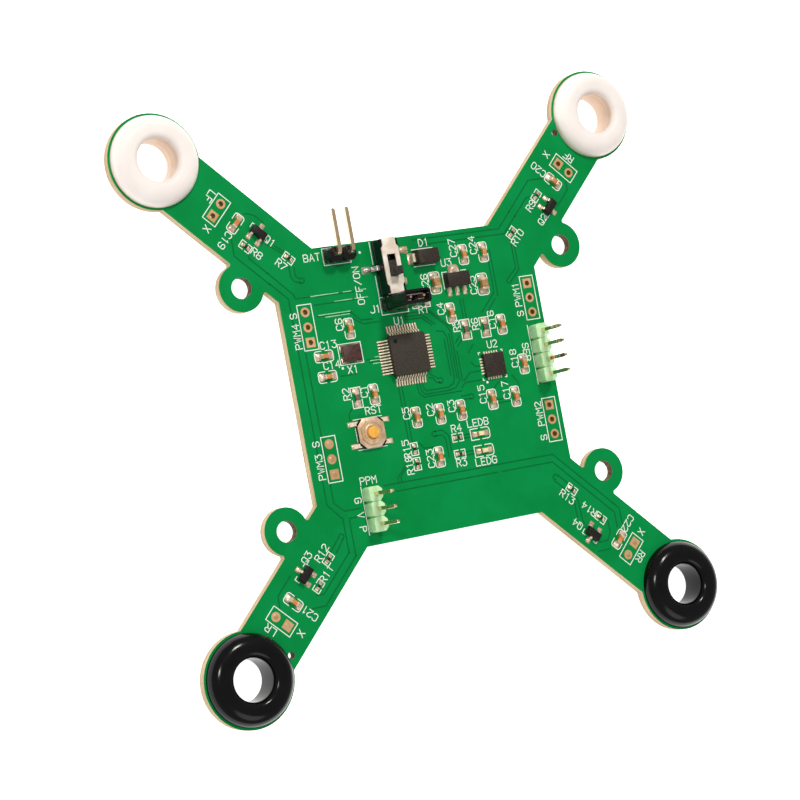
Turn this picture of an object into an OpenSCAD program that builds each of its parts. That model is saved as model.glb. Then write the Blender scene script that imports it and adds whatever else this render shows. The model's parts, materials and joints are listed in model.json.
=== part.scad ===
// Quadcopter frame board with four built-in brushed motor speed controllers.
// X is right, Y is forward and Z is up. The origin lies on the surface that the
// board stands on, under its centre. All lengths are in millimetres.

/* [Frame] */
// Distance between diagonally opposite motor centres
motor_diagonal = 120; // [116:1:124]
// Width of the board's square middle, along X
body_x = 50; // [49:0.5:51]
// Length of the board's square middle, along Y
body_y = 50.4; // [50:0.2:51]
// Width of each arm
arm_w = 11.3; // [10.5:0.1:12]
// Thickness of the bare board
board_t = 1.6; // [1.2:0.2:2.0]
// Outer radius of the ring at each arm's end
ring_r = 8; // [7.9:0.1:8.6]
// Radius of the hole in each ring
ring_hole_r = 6; // [5.6:0.1:6.2]

/* [Fixing tabs] */
// Distance of the fixing holes from the middle, along X
tab_x = 31.2; // [31:0.1:31.4]
// Distance of the fixing holes from the middle, along Y
tab_y = 20.2; // [20:0.1:20.4]
// Outer radius of each tab
tab_r = 4; // [3.6:0.1:4.4]
// Radius of each fixing hole
tab_hole_r = 1.8; // [1.2:0.1:2.2]

/* [Grommets] */
// Outer radius of each motor grommet
grommet_r = 7.6; // [7.5:0.05:7.85]
// Radius of the motor's bore in each grommet
motor_bore_r = 3.5; // [3.2:0.1:3.9]
// Rounding of the bore's two rims
bore_lip_r = 1.1; // [0.4:0.1:1.1]
// Height of the grommet's flange above and below the board
flange_h = 2.4; // [2:0.1:2.5]

/* [Pin headers] */
// Pin spacing of every header
pitch = 2.54; // [2.5:0.01:2.6]
// Side of the square pins
pin_w = 0.64; // [0.5:0.02:0.66]
// Height of the pins above a header's plastic
pin_up = 6; // [4:0.5:8]
// Length of the battery pins after their bend
battery_pin_len = 7.3; // [5:0.1:9]

/* [Power switch] */
// Width of the switch, along X
switch_w = 3.5; // [3.3:0.1:3.7]
// Length of the switch, along Y
switch_l = 9.2; // [8.8:0.1:9.4]
// Height of the switch without its knob
switch_h = 3.1; // [2.8:0.1:3.5]
// Height of the knob above the cover
knob_up = 2; // [1:0.1:3]
// Travel of the knob
knob_travel = 2.2; // [1.8:0.1:2.4]

/* [Reset button] */
// Side of the square button housing
reset_w = 5; // [4.6:0.1:5.2]
// Height of the button's top above the board
reset_h = 1.6; // [1.5:0.1:2.5]
// Travel of the button
reset_travel = 0.25; // [0.15:0.01:0.25]

/* [Hidden] */
$fn = 48;

// Heights of the board's two faces: it stands on the grommets
board_z = flange_h;
top_z = board_z + board_t;
// A little extra length for cutting tools
cut = 1;

// Direction of each arm, and the distance of its motor from the middle
FRONT_RIGHT = 45;
FRONT_LEFT = 135;
REAR_LEFT = 225;
REAR_RIGHT = 315;
ARMS = [FRONT_RIGHT, FRONT_LEFT, REAR_LEFT, REAR_RIGHT];
motor_u = motor_diagonal / 2;

// Radius of the small fillets beside each tab
tab_fillet_r = 0.4;
// Tooling holes beside two of the rings, in the arm's own axes
tooling_hole_r = 0.6;
tooling_hole = [52.6, 3.95];

// Plated holes: radii of the hole, its plating and its pad, and the pad's thickness
hole_r = 0.45;
barrel_r = 0.55;
pad_r = 0.82;
pad_t = 0.04;
// Centres of the four servo rows, with the place of the square pad in each: 1 front, -1 rear
SERVO_ROWS = [[22.88, 11.77, 1], [22.73, -9.75, 1], [-20.72, -9.9, -1], [-20.6, 12.25, -1]];
// Motor wire pads on each arm: arm, distance from the middle, offset of the pair, holes filled
MOTOR_PADS = [[FRONT_RIGHT, 48.3, -0.9, false], [FRONT_LEFT, 47, -0.3, false],
              [REAR_LEFT, 49, -0.5, true], [REAR_RIGHT, 48.35, -0.5, true]];

// Header places: centre of the row, direction of the row and number of pins
BATTERY = [-12.9, 23.45, 0, 2];
JUMPER = [-3.83, 14.1, 0, 2];
SERIAL = [22.7, 1.85, 90, 4];
RECEIVER = [-15.07, -19.3, 90, 3];
header_h = 2.54;
header_w = 2.5;
header_chamfer = 0.6;
// Size of the small notches between the blocks on the header's other side
header_notch = [0.16, 0.35];
// Length of the pins below a header's plastic
pin_down = 3;
// Height of the battery pins' bend above the board, and their slope after it
bend_z = 4.1;
bend_slope = 2;

// Places of the larger parts
PROCESSOR = [-3.3, 5.3];
MOTION_SENSOR = [13, 1.25];
CRYSTAL = [-13.65, 6.92];
REGULATOR = [8.8, 16.65];
DIODE = [3.45, 21.24];
SWITCH = [-4.3, 20.3];
RESET = [-12.8, -6.7];

// Places of the chip parts: x, y and direction on the body; arm, u, v and direction on the arms
SMALL_CAPACITORS = [
    [11.25, 20.75, 90], [15.25, 20.75, 90], [6.7, 11.1, 90], [16.25, 7.9, 90], [19.15, 0.55, 90],
    [11.65, -4.6, 90], [16.3, -4.75, 90], [5.2, -5.5, 90], [1, -5.55, 90], [-3.6, -5.45, 90],
    [-13.05, 11.05, 90], [-10.75, -0.45, 90], [-0.65, -12.7, 90], [-18.65, 7.1, 0], [-18.65, 3.65, 0]];
ARM_CAPACITORS = [
    [FRONT_RIGHT, 44.95, -0.55, 90], [FRONT_LEFT, 43.15, -0.5, 90],
    [REAR_LEFT, 45.25, -0.5, 90], [REAR_RIGHT, 45.4, -0.55, 90]];
LARGE_CAPACITORS = [[4.75, 16.6, 90], [14, 15.25, 90]];
LARGE_RESISTORS = [[9.05, 7.95, 90], [12.9, 7.85, 90], [-14.05, -0.55, 90], [1.35, 13.7, 0]];
SMALL_RESISTORS = [[3.55, -10, 0], [3.4, -12.8, 0], [-5.1, -10.65, 90], [-5.1, -13.2, 90]];
ARM_RESISTORS = [
    [FRONT_RIGHT, 31.9, 1.15, 0], [FRONT_RIGHT, 40.6, 0.78, 0],
    [FRONT_LEFT, 32.4, -1.6, 0], [FRONT_LEFT, 39.6, 1.6, 0],
    [REAR_LEFT, 35.8, 0.85, 0], [REAR_LEFT, 40.5, 1.85, 0],
    [REAR_RIGHT, 32.8, 1.2, 0], [REAR_RIGHT, 40.3, 0.4, 0]];
LEDS = [[8.05, -10, 0], [8.2, -12.95, 0]];
// Length, width, height and end length of each chip size
SMALL_CAPACITOR = [1.6, 0.8, 0.8, 0.35];
LARGE_CAPACITOR = [2, 1.25, 1.1, 0.4];
LARGE_RESISTOR = [1.6, 0.8, 0.45, 0.3];
SMALL_RESISTOR = [1, 0.5, 0.35, 0.25];
LED = [1.6, 0.8, 0.6, 0.3];
led_base_h = 0.25;

// Transistors: arm, u, v
TRANSISTOR_FRONT_RIGHT = [FRONT_RIGHT, 40.4, -2.25];
TRANSISTOR_FRONT_LEFT = [FRONT_LEFT, 39.15, -1.6];
TRANSISTOR_REAR_LEFT = [REAR_LEFT, 40.4, -1.3];
TRANSISTOR_REAR_RIGHT = [REAR_RIGHT, 40.25, -3];
transistor_size = [2.9, 1.3, 1.1];
transistor_reach = 1.25;

// Power switch: cavity, slot, sheet thickness, knob and terminal sizes
switch_wall = 0.7;
switch_floor = 1;
sheet_t = 0.25;
knob_w = 1.5;
slot_w = knob_w + 0.1;
slot_l = knob_w + knob_travel + 0.1;
carrier = [switch_w - 2 * switch_wall - 0.1, 4, 0.9];
wiper = [1.2, 3, 0.4];
terminal_w = 0.9;
terminal_reach = 2.6;
terminal_y = 2.6;
cover_neck_w = 2.5;
cover_wide_w = 3.2;
cover_wide_l = 6;

// Reset button: levels above the board, and radii
reset_floor_z = 0.2;
reset_base_h = 0.6;
reset_cover_h = 1.05;
reset_sheet_t = 0.12;
reset_chamfer = 1.15;
reset_base_chamfer = 0.7;
reset_lead_y = 1.85;
reset_lead_reach = 3.6;
plunger_r = 1;
plunger_flange_r = 1.3;
reset_cavity_r = 1.65;
dome_t = 0.08;
dome_h = dome_t + reset_travel + 0.02;

// Jumper: outer size, wall, height above the header and clip sheet
jumper_cap_size = [5, 2.4, 6.1];
jumper_wall = 0.4;
jumper_gap_z = 0.06;
clip_t = 0.15;
clip_clear = 0.04;

// ---------------------------------------------------------------- placing

module on_board(place) {
    translate([place[0], place[1], top_z]) rotate(len(place) > 2 ? place[2] : 0) children();
}

module on_arm(place) {
    rotate(place[0]) translate([place[1], place[2], top_z])
        rotate(len(place) > 3 ? place[3] : 0) children();
}

module box(size, z = 0) {
    translate([-size[0] / 2, -size[1] / 2, z]) cube(size);
}

module at_pins(count) {
    for (i = [0 : count - 1]) translate([(i - (count - 1) / 2) * pitch, 0, 0]) children();
}

// ---------------------------------------------------------------- board

// A tab beside an arm, with its two small fillets, in the board's own axes
module tab_outline() {
    arm_edge = arm_w / 2;
    u = (tab_x + tab_y) / sqrt(2);
    v = (tab_x - tab_y) / sqrt(2);
    rise = v - arm_edge - tab_fillet_r;
    run = sqrt(pow(tab_r + tab_fillet_r, 2) - pow(rise, 2));
    rotate(45) translate([u, 0]) {
        translate([0, -v]) circle(tab_r);
        for (side = [-1, 1]) scale([side, 1]) difference() {
            translate([0, -arm_edge - tab_fillet_r]) square([run, tab_fillet_r + cut]);
            translate([run, -arm_edge - tab_fillet_r]) circle(tab_fillet_r);
        }
    }
}

module board_outline() {
    square([body_x, body_y], center = true);
    for (a = [FRONT_RIGHT, FRONT_LEFT])
        rotate(a) square([2 * motor_u, arm_w], center = true);
    for (a = ARMS) rotate(a) translate([motor_u, 0]) circle(ring_r);
    for (sx = [0, 1]) mirror([sx, 0]) for (sy = [0, 1]) mirror([0, sy]) tab_outline();
}

module motor_pad_places() {
    for (p = MOTOR_PADS) rotate(p[0]) translate([p[1], p[2], 0]) children();
}

module board_holes() {
    for (a = ARMS) rotate(a) translate([motor_u, 0, 0]) cylinder(r = ring_hole_r, h = 10, center = true);
    for (sx = [-1, 1], sy = [-1, 1])
        translate([sx * tab_x, sy * tab_y, 0]) cylinder(r = tab_hole_r, h = 10, center = true);
    for (a = [FRONT_RIGHT, REAR_LEFT]) rotate(a)
        translate([tooling_hole[0], tooling_hole[1], 0]) cylinder(r = tooling_hole_r, h = 10, center = true);
    for (h = [BATTERY, JUMPER, SERIAL, RECEIVER])
        translate([h[0], h[1], 0]) rotate(h[2]) at_pins(h[3])
            cylinder(r = barrel_r, h = 10, center = true);
    for (s = SERVO_ROWS)
        translate([s[0], s[1], 0]) rotate(90) at_pins(3) cylinder(r = barrel_r, h = 10, center = true);
    motor_pad_places() rotate(90) at_pins(2) cylinder(r = barrel_r, h = 10, center = true);
}

module circuit_board() color([0, 0.45, 0.2]) difference() {
    translate([0, 0, board_z]) linear_extrude(board_t) board_outline();
    translate([0, 0, board_z]) board_holes();
}

// One plated hole with a pad on each face
module plated_hole(square_pad = false) {
    difference() {
        union() {
            translate([0, 0, board_z]) cylinder(r = barrel_r, h = board_t);
            for (z = [board_z - pad_t, top_z]) translate([0, 0, z])
                if (square_pad) box([2 * pad_r, 2 * pad_r, pad_t]);
                else cylinder(r = pad_r, h = pad_t);
        }
        translate([0, 0, board_z - cut]) cylinder(r = hole_r, h = board_t + 2 * cut);
    }
}

module plated_holes() color([0.85, 0.6, 0.4]) {
    for (s = SERVO_ROWS) for (i = [-1 : 1])
        translate([s[0], s[1] + i * pitch, 0]) plated_hole(i == s[2]);
    for (p = MOTOR_PADS) for (i = [-1, 1])
        rotate(p[0]) translate([p[1], p[2] + i * pitch / 2, 0]) plated_hole(i == 1);
}

// Solder that fills some of the empty holes
module pad_solder() color([0.8, 0.75, 0.7]) {
    dome_h = 0.12;
    for (p = MOTOR_PADS) if (p[3]) for (i = [-1, 1])
        rotate(p[0]) translate([p[1], p[2] + i * pitch / 2, board_z])
            cylinder(r = hole_r, h = board_t + dome_h);
    for (i = [-1 : 1])
        translate([SERVO_ROWS[2][0], SERVO_ROWS[2][1] + i * pitch, board_z])
            cylinder(r = hole_r, h = board_t + dome_h);
}

// Solder round the header pins, under the board
module header_solder() color([0.75, 0.75, 0.75]) {
    cone_h = 0.9;
    for (h = [BATTERY, JUMPER, SERIAL, RECEIVER])
        translate([h[0], h[1], 0]) rotate(h[2]) at_pins(h[3]) difference() {
            union() {
                translate([0, 0, board_z - cone_h]) cylinder(r1 = 0.42, r2 = pad_r, h = cone_h);
                translate([0, 0, board_z]) cylinder(r = barrel_r, h = board_t);
            }
            box([pin_w, pin_w, board_t + 4], board_z - 2);
        }
}

// ---------------------------------------------------------------- grommets

// Half of a flange, from the board's face outwards
module flange_half() {
    crown_r = grommet_r - flange_h;
    lip_x = motor_bore_r + bore_lip_r;
    intersection() {
        translate([crown_r, 0]) circle(flange_h);
        translate([crown_r, 0]) square(flange_h);
    }
    intersection() {
        translate([lip_x, flange_h - bore_lip_r]) circle(bore_lip_r);
        translate([motor_bore_r, flange_h - bore_lip_r]) square(bore_lip_r);
    }
    translate([motor_bore_r, 0]) square([crown_r - motor_bore_r, flange_h - bore_lip_r]);
    translate([lip_x, 0]) square([crown_r - lip_x, flange_h]);
}

module grommet_at(angle) {
    rotate(angle) translate([motor_u, 0, 0]) rotate_extrude($fn = 96) {
        translate([0, top_z]) flange_half();
        translate([0, board_z]) mirror([0, 1]) flange_half();
        translate([motor_bore_r, board_z]) square([ring_hole_r - motor_bore_r, board_t]);
    }
}

module grommet_front_left() color("white") grommet_at(FRONT_LEFT);
module grommet_front_right() color("white") grommet_at(FRONT_RIGHT);
module grommet_rear_left() color([0.08, 0.08, 0.08]) grommet_at(REAR_LEFT);
module grommet_rear_right() color([0.08, 0.08, 0.08]) grommet_at(REAR_RIGHT);

// ---------------------------------------------------------------- chips

// A bent lead seen from the side: out of the body, down, and along the board
module gull_lead(start, toe, shoulder_z, foot, t) {
    knee = toe - foot - t;
    polygon([
        [start, shoulder_z], [knee, shoulder_z], [toe - foot, 0], [toe, 0], [toe, t],
        [toe - foot + t, t], [knee + t, shoulder_z + t], [start, shoulder_z + t]]);
}

module lead_strip(w) {
    rotate([90, 0, 0]) translate([0, 0, -w / 2]) linear_extrude(w) children();
}

processor_w = 7;
processor_h = 1.5;
lead_pitch = 0.5;
leads_per_side = 12;
module processor_body() color([0.25, 0.24, 0.23]) on_board(PROCESSOR) difference() {
    box([processor_w, processor_w, processor_h - 0.1], 0.1);
    translate([-2, 2.4, processor_h - 0.08]) cylinder(r = 0.35, h = cut);
}
module processor_leads() color("silver") on_board(PROCESSOR)
    for (side = [0 : 3], i = [0 : leads_per_side - 1]) rotate(90 * side)
        translate([0, (i - (leads_per_side - 1) / 2) * lead_pitch, 0])
            lead_strip(0.22) gull_lead(processor_w / 2, 4.5, 0.7, 0.45, 0.13);

sensor_w = 4;
sensor_h = 0.9;
module motion_sensor_body() color([0.2, 0.19, 0.18]) on_board(MOTION_SENSOR) difference() {
    box([sensor_w, sensor_w, sensor_h]);
    for (side = [0 : 3], i = [0 : 5]) rotate(90 * side)
        translate([sensor_w / 2 - 0.35, (i - 2.5) * lead_pitch - 0.125, -cut]) cube([1, 0.25, cut + 0.2]);
}
module motion_sensor_terminals() color("silver") on_board(MOTION_SENSOR)
    for (side = [0 : 3], i = [0 : 5]) rotate(90 * side)
        translate([sensor_w / 2 - 0.35, (i - 2.5) * lead_pitch - 0.125, 0]) cube([0.36, 0.25, 0.2]);

crystal_size = [3.5, 2.9];
crystal_base_h = 0.45;
module crystal_base() color([0.75, 0.68, 0.55]) on_board(CRYSTAL)
    box([crystal_size[0], crystal_size[1], crystal_base_h]);
module crystal_lid() color([0.35, 0.3, 0.28]) on_board(CRYSTAL)
    box([crystal_size[0] - 0.2, crystal_size[1] - 0.2, 0.3], crystal_base_h);

regulator_size = [4.5, 2.45, 1.5];
module regulator_body() color([0.25, 0.24, 0.23]) on_board(REGULATOR) difference() {
    box(regulator_size);
    translate([0, 0, -cut]) {
        for (x = [-1.5, 0, 1.5]) translate([x - 0.25, -2.7, 0]) cube([0.5, 2, cut + 0.38]);
        translate([-0.9, -1, 0]) cube([1.8, 3, cut + 0.38]);
    }
}
// Three legs at the rear, and the wide tab that runs under the body to the front
module regulator_leads() color("silver") on_board(REGULATOR) linear_extrude(0.38) {
    for (x = [-1.5, 0, 1.5]) translate([x - 0.25, -2.1]) square([0.5, 1.4]);
    translate([-0.9, -1]) square([1.8, 2.35]);
    translate([0, 1.35]) intersection() {
        circle(0.9);
        translate([-1, 0]) square([2, 1]);
    }
}

diode_size = [4.3, 2.5, 2];
terminal_t = 0.2;
diode_terminal_w = 1.45;
module diode_body() color([0.22, 0.21, 0.2]) on_board(DIODE) difference() {
    box(diode_size, 0.1);
    for (side = [0, 1]) mirror([side, 0, 0])
        translate([diode_size[0] / 2 - 1.2, -diode_terminal_w / 2, -cut])
            cube([2, diode_terminal_w, cut + terminal_t]);
}
module diode_terminals() color("silver") on_board(DIODE)
    for (side = [0, 1]) mirror([side, 0, 0]) lead_strip(diode_terminal_w) polygon([
        [diode_size[0] / 2 - 1.2, 0], [diode_size[0] / 2 + 0.45, 0], [diode_size[0] / 2 + 0.45, 1.1],
        [diode_size[0] / 2, 1.1], [diode_size[0] / 2, 1.1 - terminal_t],
        [diode_size[0] / 2 + 0.45 - terminal_t, 1.1 - terminal_t],
        [diode_size[0] / 2 + 0.45 - terminal_t, terminal_t], [diode_size[0] / 2 - 1.2, terminal_t]]);

// ---------------------------------------------------------------- power switch

cavity_h = switch_h - sheet_t - switch_floor;
module switch_base() color([0.06, 0.07, 0.1]) on_board(SWITCH) difference() {
    box([switch_w, switch_l, switch_h - sheet_t - 0.1], 0.1);
    box([switch_w - 2 * switch_wall, switch_l - 2.8, cavity_h + cut], switch_floor);
}
// The sheet cover is wide in the middle and narrow at both ends, with the knob's slot
module switch_cover() color([0.85, 0.8, 0.72]) on_board(SWITCH)
    translate([0, 0, switch_h - sheet_t]) linear_extrude(sheet_t) difference() {
        polygon([
            [cover_wide_w / 2, cover_wide_l / 2], [cover_neck_w / 2, cover_wide_l / 2 + 0.5],
            [cover_neck_w / 2, switch_l / 2], [-cover_neck_w / 2, switch_l / 2],
            [-cover_neck_w / 2, cover_wide_l / 2 + 0.5], [-cover_wide_w / 2, cover_wide_l / 2],
            [-cover_wide_w / 2, -cover_wide_l / 2], [-cover_neck_w / 2, -cover_wide_l / 2 - 0.5],
            [-cover_neck_w / 2, -switch_l / 2], [cover_neck_w / 2, -switch_l / 2],
            [cover_neck_w / 2, -cover_wide_l / 2 - 0.5], [cover_wide_w / 2, -cover_wide_l / 2]]);
        square([slot_w, slot_l], center = true);
    }
// One terminal on the left, two on the right: a foot on the board and a leg up the wall
module switch_terminals() color("silver") on_board(SWITCH)
    for (place = [[-1, 0], [1, terminal_y], [1, -terminal_y]])
        translate([0, place[1], 0]) scale([place[0], 1, 1]) lead_strip(terminal_w) polygon([
            [switch_w / 2, 0], [switch_w / 2 + terminal_reach, 0], [switch_w / 2 + terminal_reach, sheet_t],
            [switch_w / 2 + sheet_t, sheet_t], [switch_w / 2 + sheet_t, switch_h - 0.5],
            [switch_w / 2, switch_h - 0.5]]);
// The knob on its carrier, at the rear end of its travel
knob_rest_y = -knob_travel / 2;
carrier_z = switch_h - sheet_t - 0.1 - carrier[2];
module switch_knob() color([0.16, 0.15, 0.15]) on_board(SWITCH) translate([0, knob_rest_y, 0]) {
    box(carrier, carrier_z);
    box([knob_w, knob_w, switch_h + knob_up - carrier_z], carrier_z);
}
// Three contact plates on the cavity's floor, which the wiper joins two by two
module switch_contacts() color("gold") on_board(SWITCH)
    for (i = [-1 : 1]) translate([0, i * knob_travel, 0]) box([wiper[0], 1.5, 0.4], switch_floor);
module switch_wiper() color("gold") on_board(SWITCH) translate([0, knob_rest_y, 0])
    box(wiper, carrier_z - wiper[2]);

// ---------------------------------------------------------------- reset button

// A square with cut corners
module octagon(w, corner) {
    a = w / 2;
    b = a - corner;
    polygon([[a, b], [b, a], [-b, a], [-a, b], [-a, -b], [-b, -a], [b, -a], [a, -b]]);
}

module reset_base() color([0.12, 0.11, 0.1]) on_board(RESET) difference() {
    linear_extrude(reset_base_h) octagon(reset_w, reset_base_chamfer);
    translate([0, 0, reset_floor_z]) cylinder(r = reset_cavity_r, h = cut);
    for (sx = [-1, 1], sy = [-1, 1]) translate([sx * reset_lead_reach, sy * reset_lead_y, -cut])
        box([2 * reset_lead_reach - reset_w + 0.8, 0.7, cut + 0.2]);
}
module reset_cover() color([0.8, 0.7, 0.58]) on_board(RESET) difference() {
    union() {
        translate([0, 0, reset_base_h]) linear_extrude(reset_sheet_t) octagon(reset_w, reset_chamfer);
        translate([0, 0, reset_base_h]) linear_extrude(reset_cover_h - reset_base_h) octagon(3.8, 0.9);
    }
    translate([0, 0, reset_base_h - cut])
        cylinder(r = reset_cavity_r, h = cut + reset_cover_h - reset_base_h - reset_sheet_t);
    cylinder(r = plunger_r + 0.05, h = 3);
}
module reset_leads() color("silver") on_board(RESET)
    for (sx = [-1, 1], sy = [-1, 1]) scale([sx, 1, 1])
        translate([reset_w / 2 - 0.4, sy * reset_lead_y - 0.35, 0])
            cube([reset_lead_reach - reset_w / 2 + 0.4, 0.7, 0.2]);
plunger_z = reset_floor_z + dome_h + 0.02;
module reset_plunger() color([0.95, 0.7, 0.25]) on_board(RESET) translate([0, 0, plunger_z]) {
    cylinder(r = plunger_r, h = reset_h - plunger_z);
    cylinder(r = plunger_flange_r, h = 0.2);
}
// The snap dome stands on the housing's floor and carries the plunger
module reset_dome() color("silver") on_board(RESET) translate([0, 0, reset_floor_z])
    rotate_extrude() polygon([
        [0, dome_h - dome_t], [0.6, dome_h - dome_t], [1.35, 0], [1.6, 0], [1.6, dome_t],
        [1.38, dome_t], [0.65, dome_h], [0, dome_h]]);

// ---------------------------------------------------------------- headers

module header_housing(place) {
    on_board([place[0], place[1], place[2]]) difference() {
        linear_extrude(header_h) at_pins(place[3]) header_section();
        translate([0, 0, -cut]) linear_extrude(header_h + 2 * cut) at_pins(place[3])
            square(pin_w, center = true);
    }
}
module header_section() {
    a = pitch / 2;
    b = header_w / 2;
    c = header_chamfer;
    n = header_notch;
    polygon([[a, b - n[1]], [a - n[0], b], [n[0] - a, b], [-a, b - n[1]],
             [-a, c - b], [c - a, -b], [a - c, -b], [a, c - b]]);
}
module straight_pins(place) {
    on_board([place[0], place[1], place[2]]) at_pins(place[3])
        box([pin_w, pin_w, pin_down + header_h + pin_up], -pin_down);
}

module battery_header_housing() color([0.08, 0.08, 0.08]) header_housing(BATTERY);
// The battery pins rise out of the plastic and bend forward
module battery_header_pins() color([0.85, 0.75, 0.55]) on_board([BATTERY[0], BATTERY[1], 0])
    at_pins(BATTERY[3]) {
        box([pin_w, pin_w, pin_down + bend_z], -pin_down);
        translate([0, 0, bend_z - pin_w / 2]) rotate([bend_slope, 0, 0])
            translate([-pin_w / 2, -0.3 * pin_w, -pin_w / 2])
                cube([pin_w, battery_pin_len + pin_w / 2, pin_w]);
    }
module serial_header_housing() color([0.7, 0.92, 0.7]) header_housing(SERIAL);
module serial_header_pins() color([0.85, 0.75, 0.55]) straight_pins(SERIAL);
module receiver_header_housing() color([0.7, 0.92, 0.7]) header_housing(RECEIVER);
module receiver_header_pins() color([0.85, 0.75, 0.55]) straight_pins(RECEIVER);
module jumper_header_housing() color([0.08, 0.08, 0.08]) header_housing(JUMPER);
module jumper_header_pins() color([0.85, 0.75, 0.55]) straight_pins(JUMPER);

// The jumper is a tube with open ends; its clip grips both pins
clip_size = [pitch + pin_w + 2 * (clip_clear + clip_t), pin_w + 2 * (clip_clear + clip_t), 4.2];
jumper_cap_z = header_h + jumper_gap_z;
module jumper_cap() color([0.07, 0.07, 0.07]) on_board([JUMPER[0], JUMPER[1]])
    translate([0, 0, jumper_cap_z]) difference() {
        linear_extrude(jumper_cap_size[2]) difference() {
            square([jumper_cap_size[0], jumper_cap_size[1]], center = true);
            for (sx = [-1, 1], sy = [-1, 1])
                translate([sx * jumper_cap_size[0] / 2, sy * jumper_cap_size[1] / 2])
                    rotate(45) square(0.5, center = true);
        }
        box([clip_size[0], clip_size[1], jumper_cap_size[2] + 2 * cut], -cut);
        box([jumper_cap_size[0] - 2 * jumper_wall, jumper_cap_size[1] - 2 * jumper_wall, 2],
            jumper_cap_size[2] - 1.2);
    }
module jumper_clip() color([0.9, 0.75, 0.45]) on_board([JUMPER[0], JUMPER[1]])
    translate([0, 0, jumper_cap_z + 0.6]) linear_extrude(clip_size[2]) difference() {
        square([clip_size[0], clip_size[1]], center = true);
        square([clip_size[0] - 2 * clip_t, clip_size[1] - 2 * clip_t], center = true);
        translate([-0.7, -clip_size[1]]) square([1.4, clip_size[1]]);
    }

// ---------------------------------------------------------------- transistors

module transistor_body(place) {
    on_arm(place) box([transistor_size[0], transistor_size[1], transistor_size[2] - 0.1], 0.1);
}
// Two legs on one side and one on the other
module transistor_leads(place) {
    on_arm(place) for (leg = [[0.95, 1], [-0.95, 1], [0, -1]])
        translate([leg[0], 0, 0]) rotate(90 * leg[1])
            lead_strip(0.42) gull_lead(transistor_size[1] / 2, transistor_reach, 0.5, 0.3, 0.12);
}
module transistor_front_left_body() color([0.2, 0.19, 0.18]) transistor_body(TRANSISTOR_FRONT_LEFT);
module transistor_front_left_leads() color("silver") transistor_leads(TRANSISTOR_FRONT_LEFT);
module transistor_front_right_body() color([0.2, 0.19, 0.18]) transistor_body(TRANSISTOR_FRONT_RIGHT);
module transistor_front_right_leads() color("silver") transistor_leads(TRANSISTOR_FRONT_RIGHT);
module transistor_rear_left_body() color([0.2, 0.19, 0.18]) transistor_body(TRANSISTOR_REAR_LEFT);
module transistor_rear_left_leads() color("silver") transistor_leads(TRANSISTOR_REAR_LEFT);
module transistor_rear_right_body() color([0.2, 0.19, 0.18]) transistor_body(TRANSISTOR_REAR_RIGHT);
module transistor_rear_right_leads() color("silver") transistor_leads(TRANSISTOR_REAR_RIGHT);

// ---------------------------------------------------------------- chip parts

module chip_body(size) {
    box([size[0] - 2 * size[3], size[1], size[2]]);
}
module chip_ends(size) {
    for (side = [-1, 1]) translate([side * (size[0] - size[3]) / 2, 0, 0]) box([size[3], size[1], size[2]]);
}

module small_capacitor_bodies() color([0.8, 0.5, 0.25]) {
    for (p = SMALL_CAPACITORS) on_board(p) chip_body(SMALL_CAPACITOR);
    for (p = ARM_CAPACITORS) on_arm(p) chip_body(SMALL_CAPACITOR);
}
module small_capacitor_ends() color("silver") {
    for (p = SMALL_CAPACITORS) on_board(p) chip_ends(SMALL_CAPACITOR);
    for (p = ARM_CAPACITORS) on_arm(p) chip_ends(SMALL_CAPACITOR);
}
module large_capacitor_bodies() color([0.65, 0.45, 0.3])
    for (p = LARGE_CAPACITORS) on_board(p) chip_body(LARGE_CAPACITOR);
module large_capacitor_ends() color("silver")
    for (p = LARGE_CAPACITORS) on_board(p) chip_ends(LARGE_CAPACITOR);
module large_resistor_bodies() color([0.15, 0.15, 0.15])
    for (p = LARGE_RESISTORS) on_board(p) chip_body(LARGE_RESISTOR);
module large_resistor_ends() color("silver")
    for (p = LARGE_RESISTORS) on_board(p) chip_ends(LARGE_RESISTOR);
module small_resistor_bodies() color([0.15, 0.15, 0.15]) {
    for (p = SMALL_RESISTORS) on_board(p) chip_body(SMALL_RESISTOR);
    for (p = ARM_RESISTORS) on_arm(p) chip_body(SMALL_RESISTOR);
}
module small_resistor_ends() color("silver") {
    for (p = SMALL_RESISTORS) on_board(p) chip_ends(SMALL_RESISTOR);
    for (p = ARM_RESISTORS) on_arm(p) chip_ends(SMALL_RESISTOR);
}
module led_bases() color([0.95, 0.93, 0.85]) for (p = LEDS) on_board(p)
    chip_body([LED[0], LED[1], led_base_h, LED[3]]);
module led_terminals() color("gold") for (p = LEDS) on_board(p)
    chip_ends([LED[0], LED[1], led_base_h, LED[3]]);
module led_lenses() color([0.95, 0.9, 0.6]) for (p = LEDS) on_board(p)
    box([1.1, LED[1], LED[2] - led_base_h], led_base_h);

// ---------------------------------------------------------------- all nodes

circuit_board();
plated_holes();
header_solder();
pad_solder();
grommet_front_left();
grommet_front_right();
grommet_rear_left();
grommet_rear_right();
processor_body();
processor_leads();
motion_sensor_body();
motion_sensor_terminals();
crystal_base();
crystal_lid();
regulator_body();
regulator_leads();
diode_body();
diode_terminals();
switch_base();
switch_cover();
switch_terminals();
switch_knob();
switch_wiper();
switch_contacts();
reset_base();
reset_cover();
reset_leads();
reset_plunger();
reset_dome();
battery_header_housing();
battery_header_pins();
serial_header_housing();
serial_header_pins();
receiver_header_housing();
receiver_header_pins();
jumper_header_housing();
jumper_header_pins();
jumper_cap();
jumper_clip();
transistor_front_left_body();
transistor_front_left_leads();
transistor_front_right_body();
transistor_front_right_leads();
transistor_rear_left_body();
transistor_rear_left_leads();
transistor_rear_right_body();
transistor_rear_right_leads();
small_capacitor_bodies();
small_capacitor_ends();
large_capacitor_bodies();
large_capacitor_ends();
large_resistor_bodies();
large_resistor_ends();
small_resistor_bodies();
small_resistor_ends();
led_bases();
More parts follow.
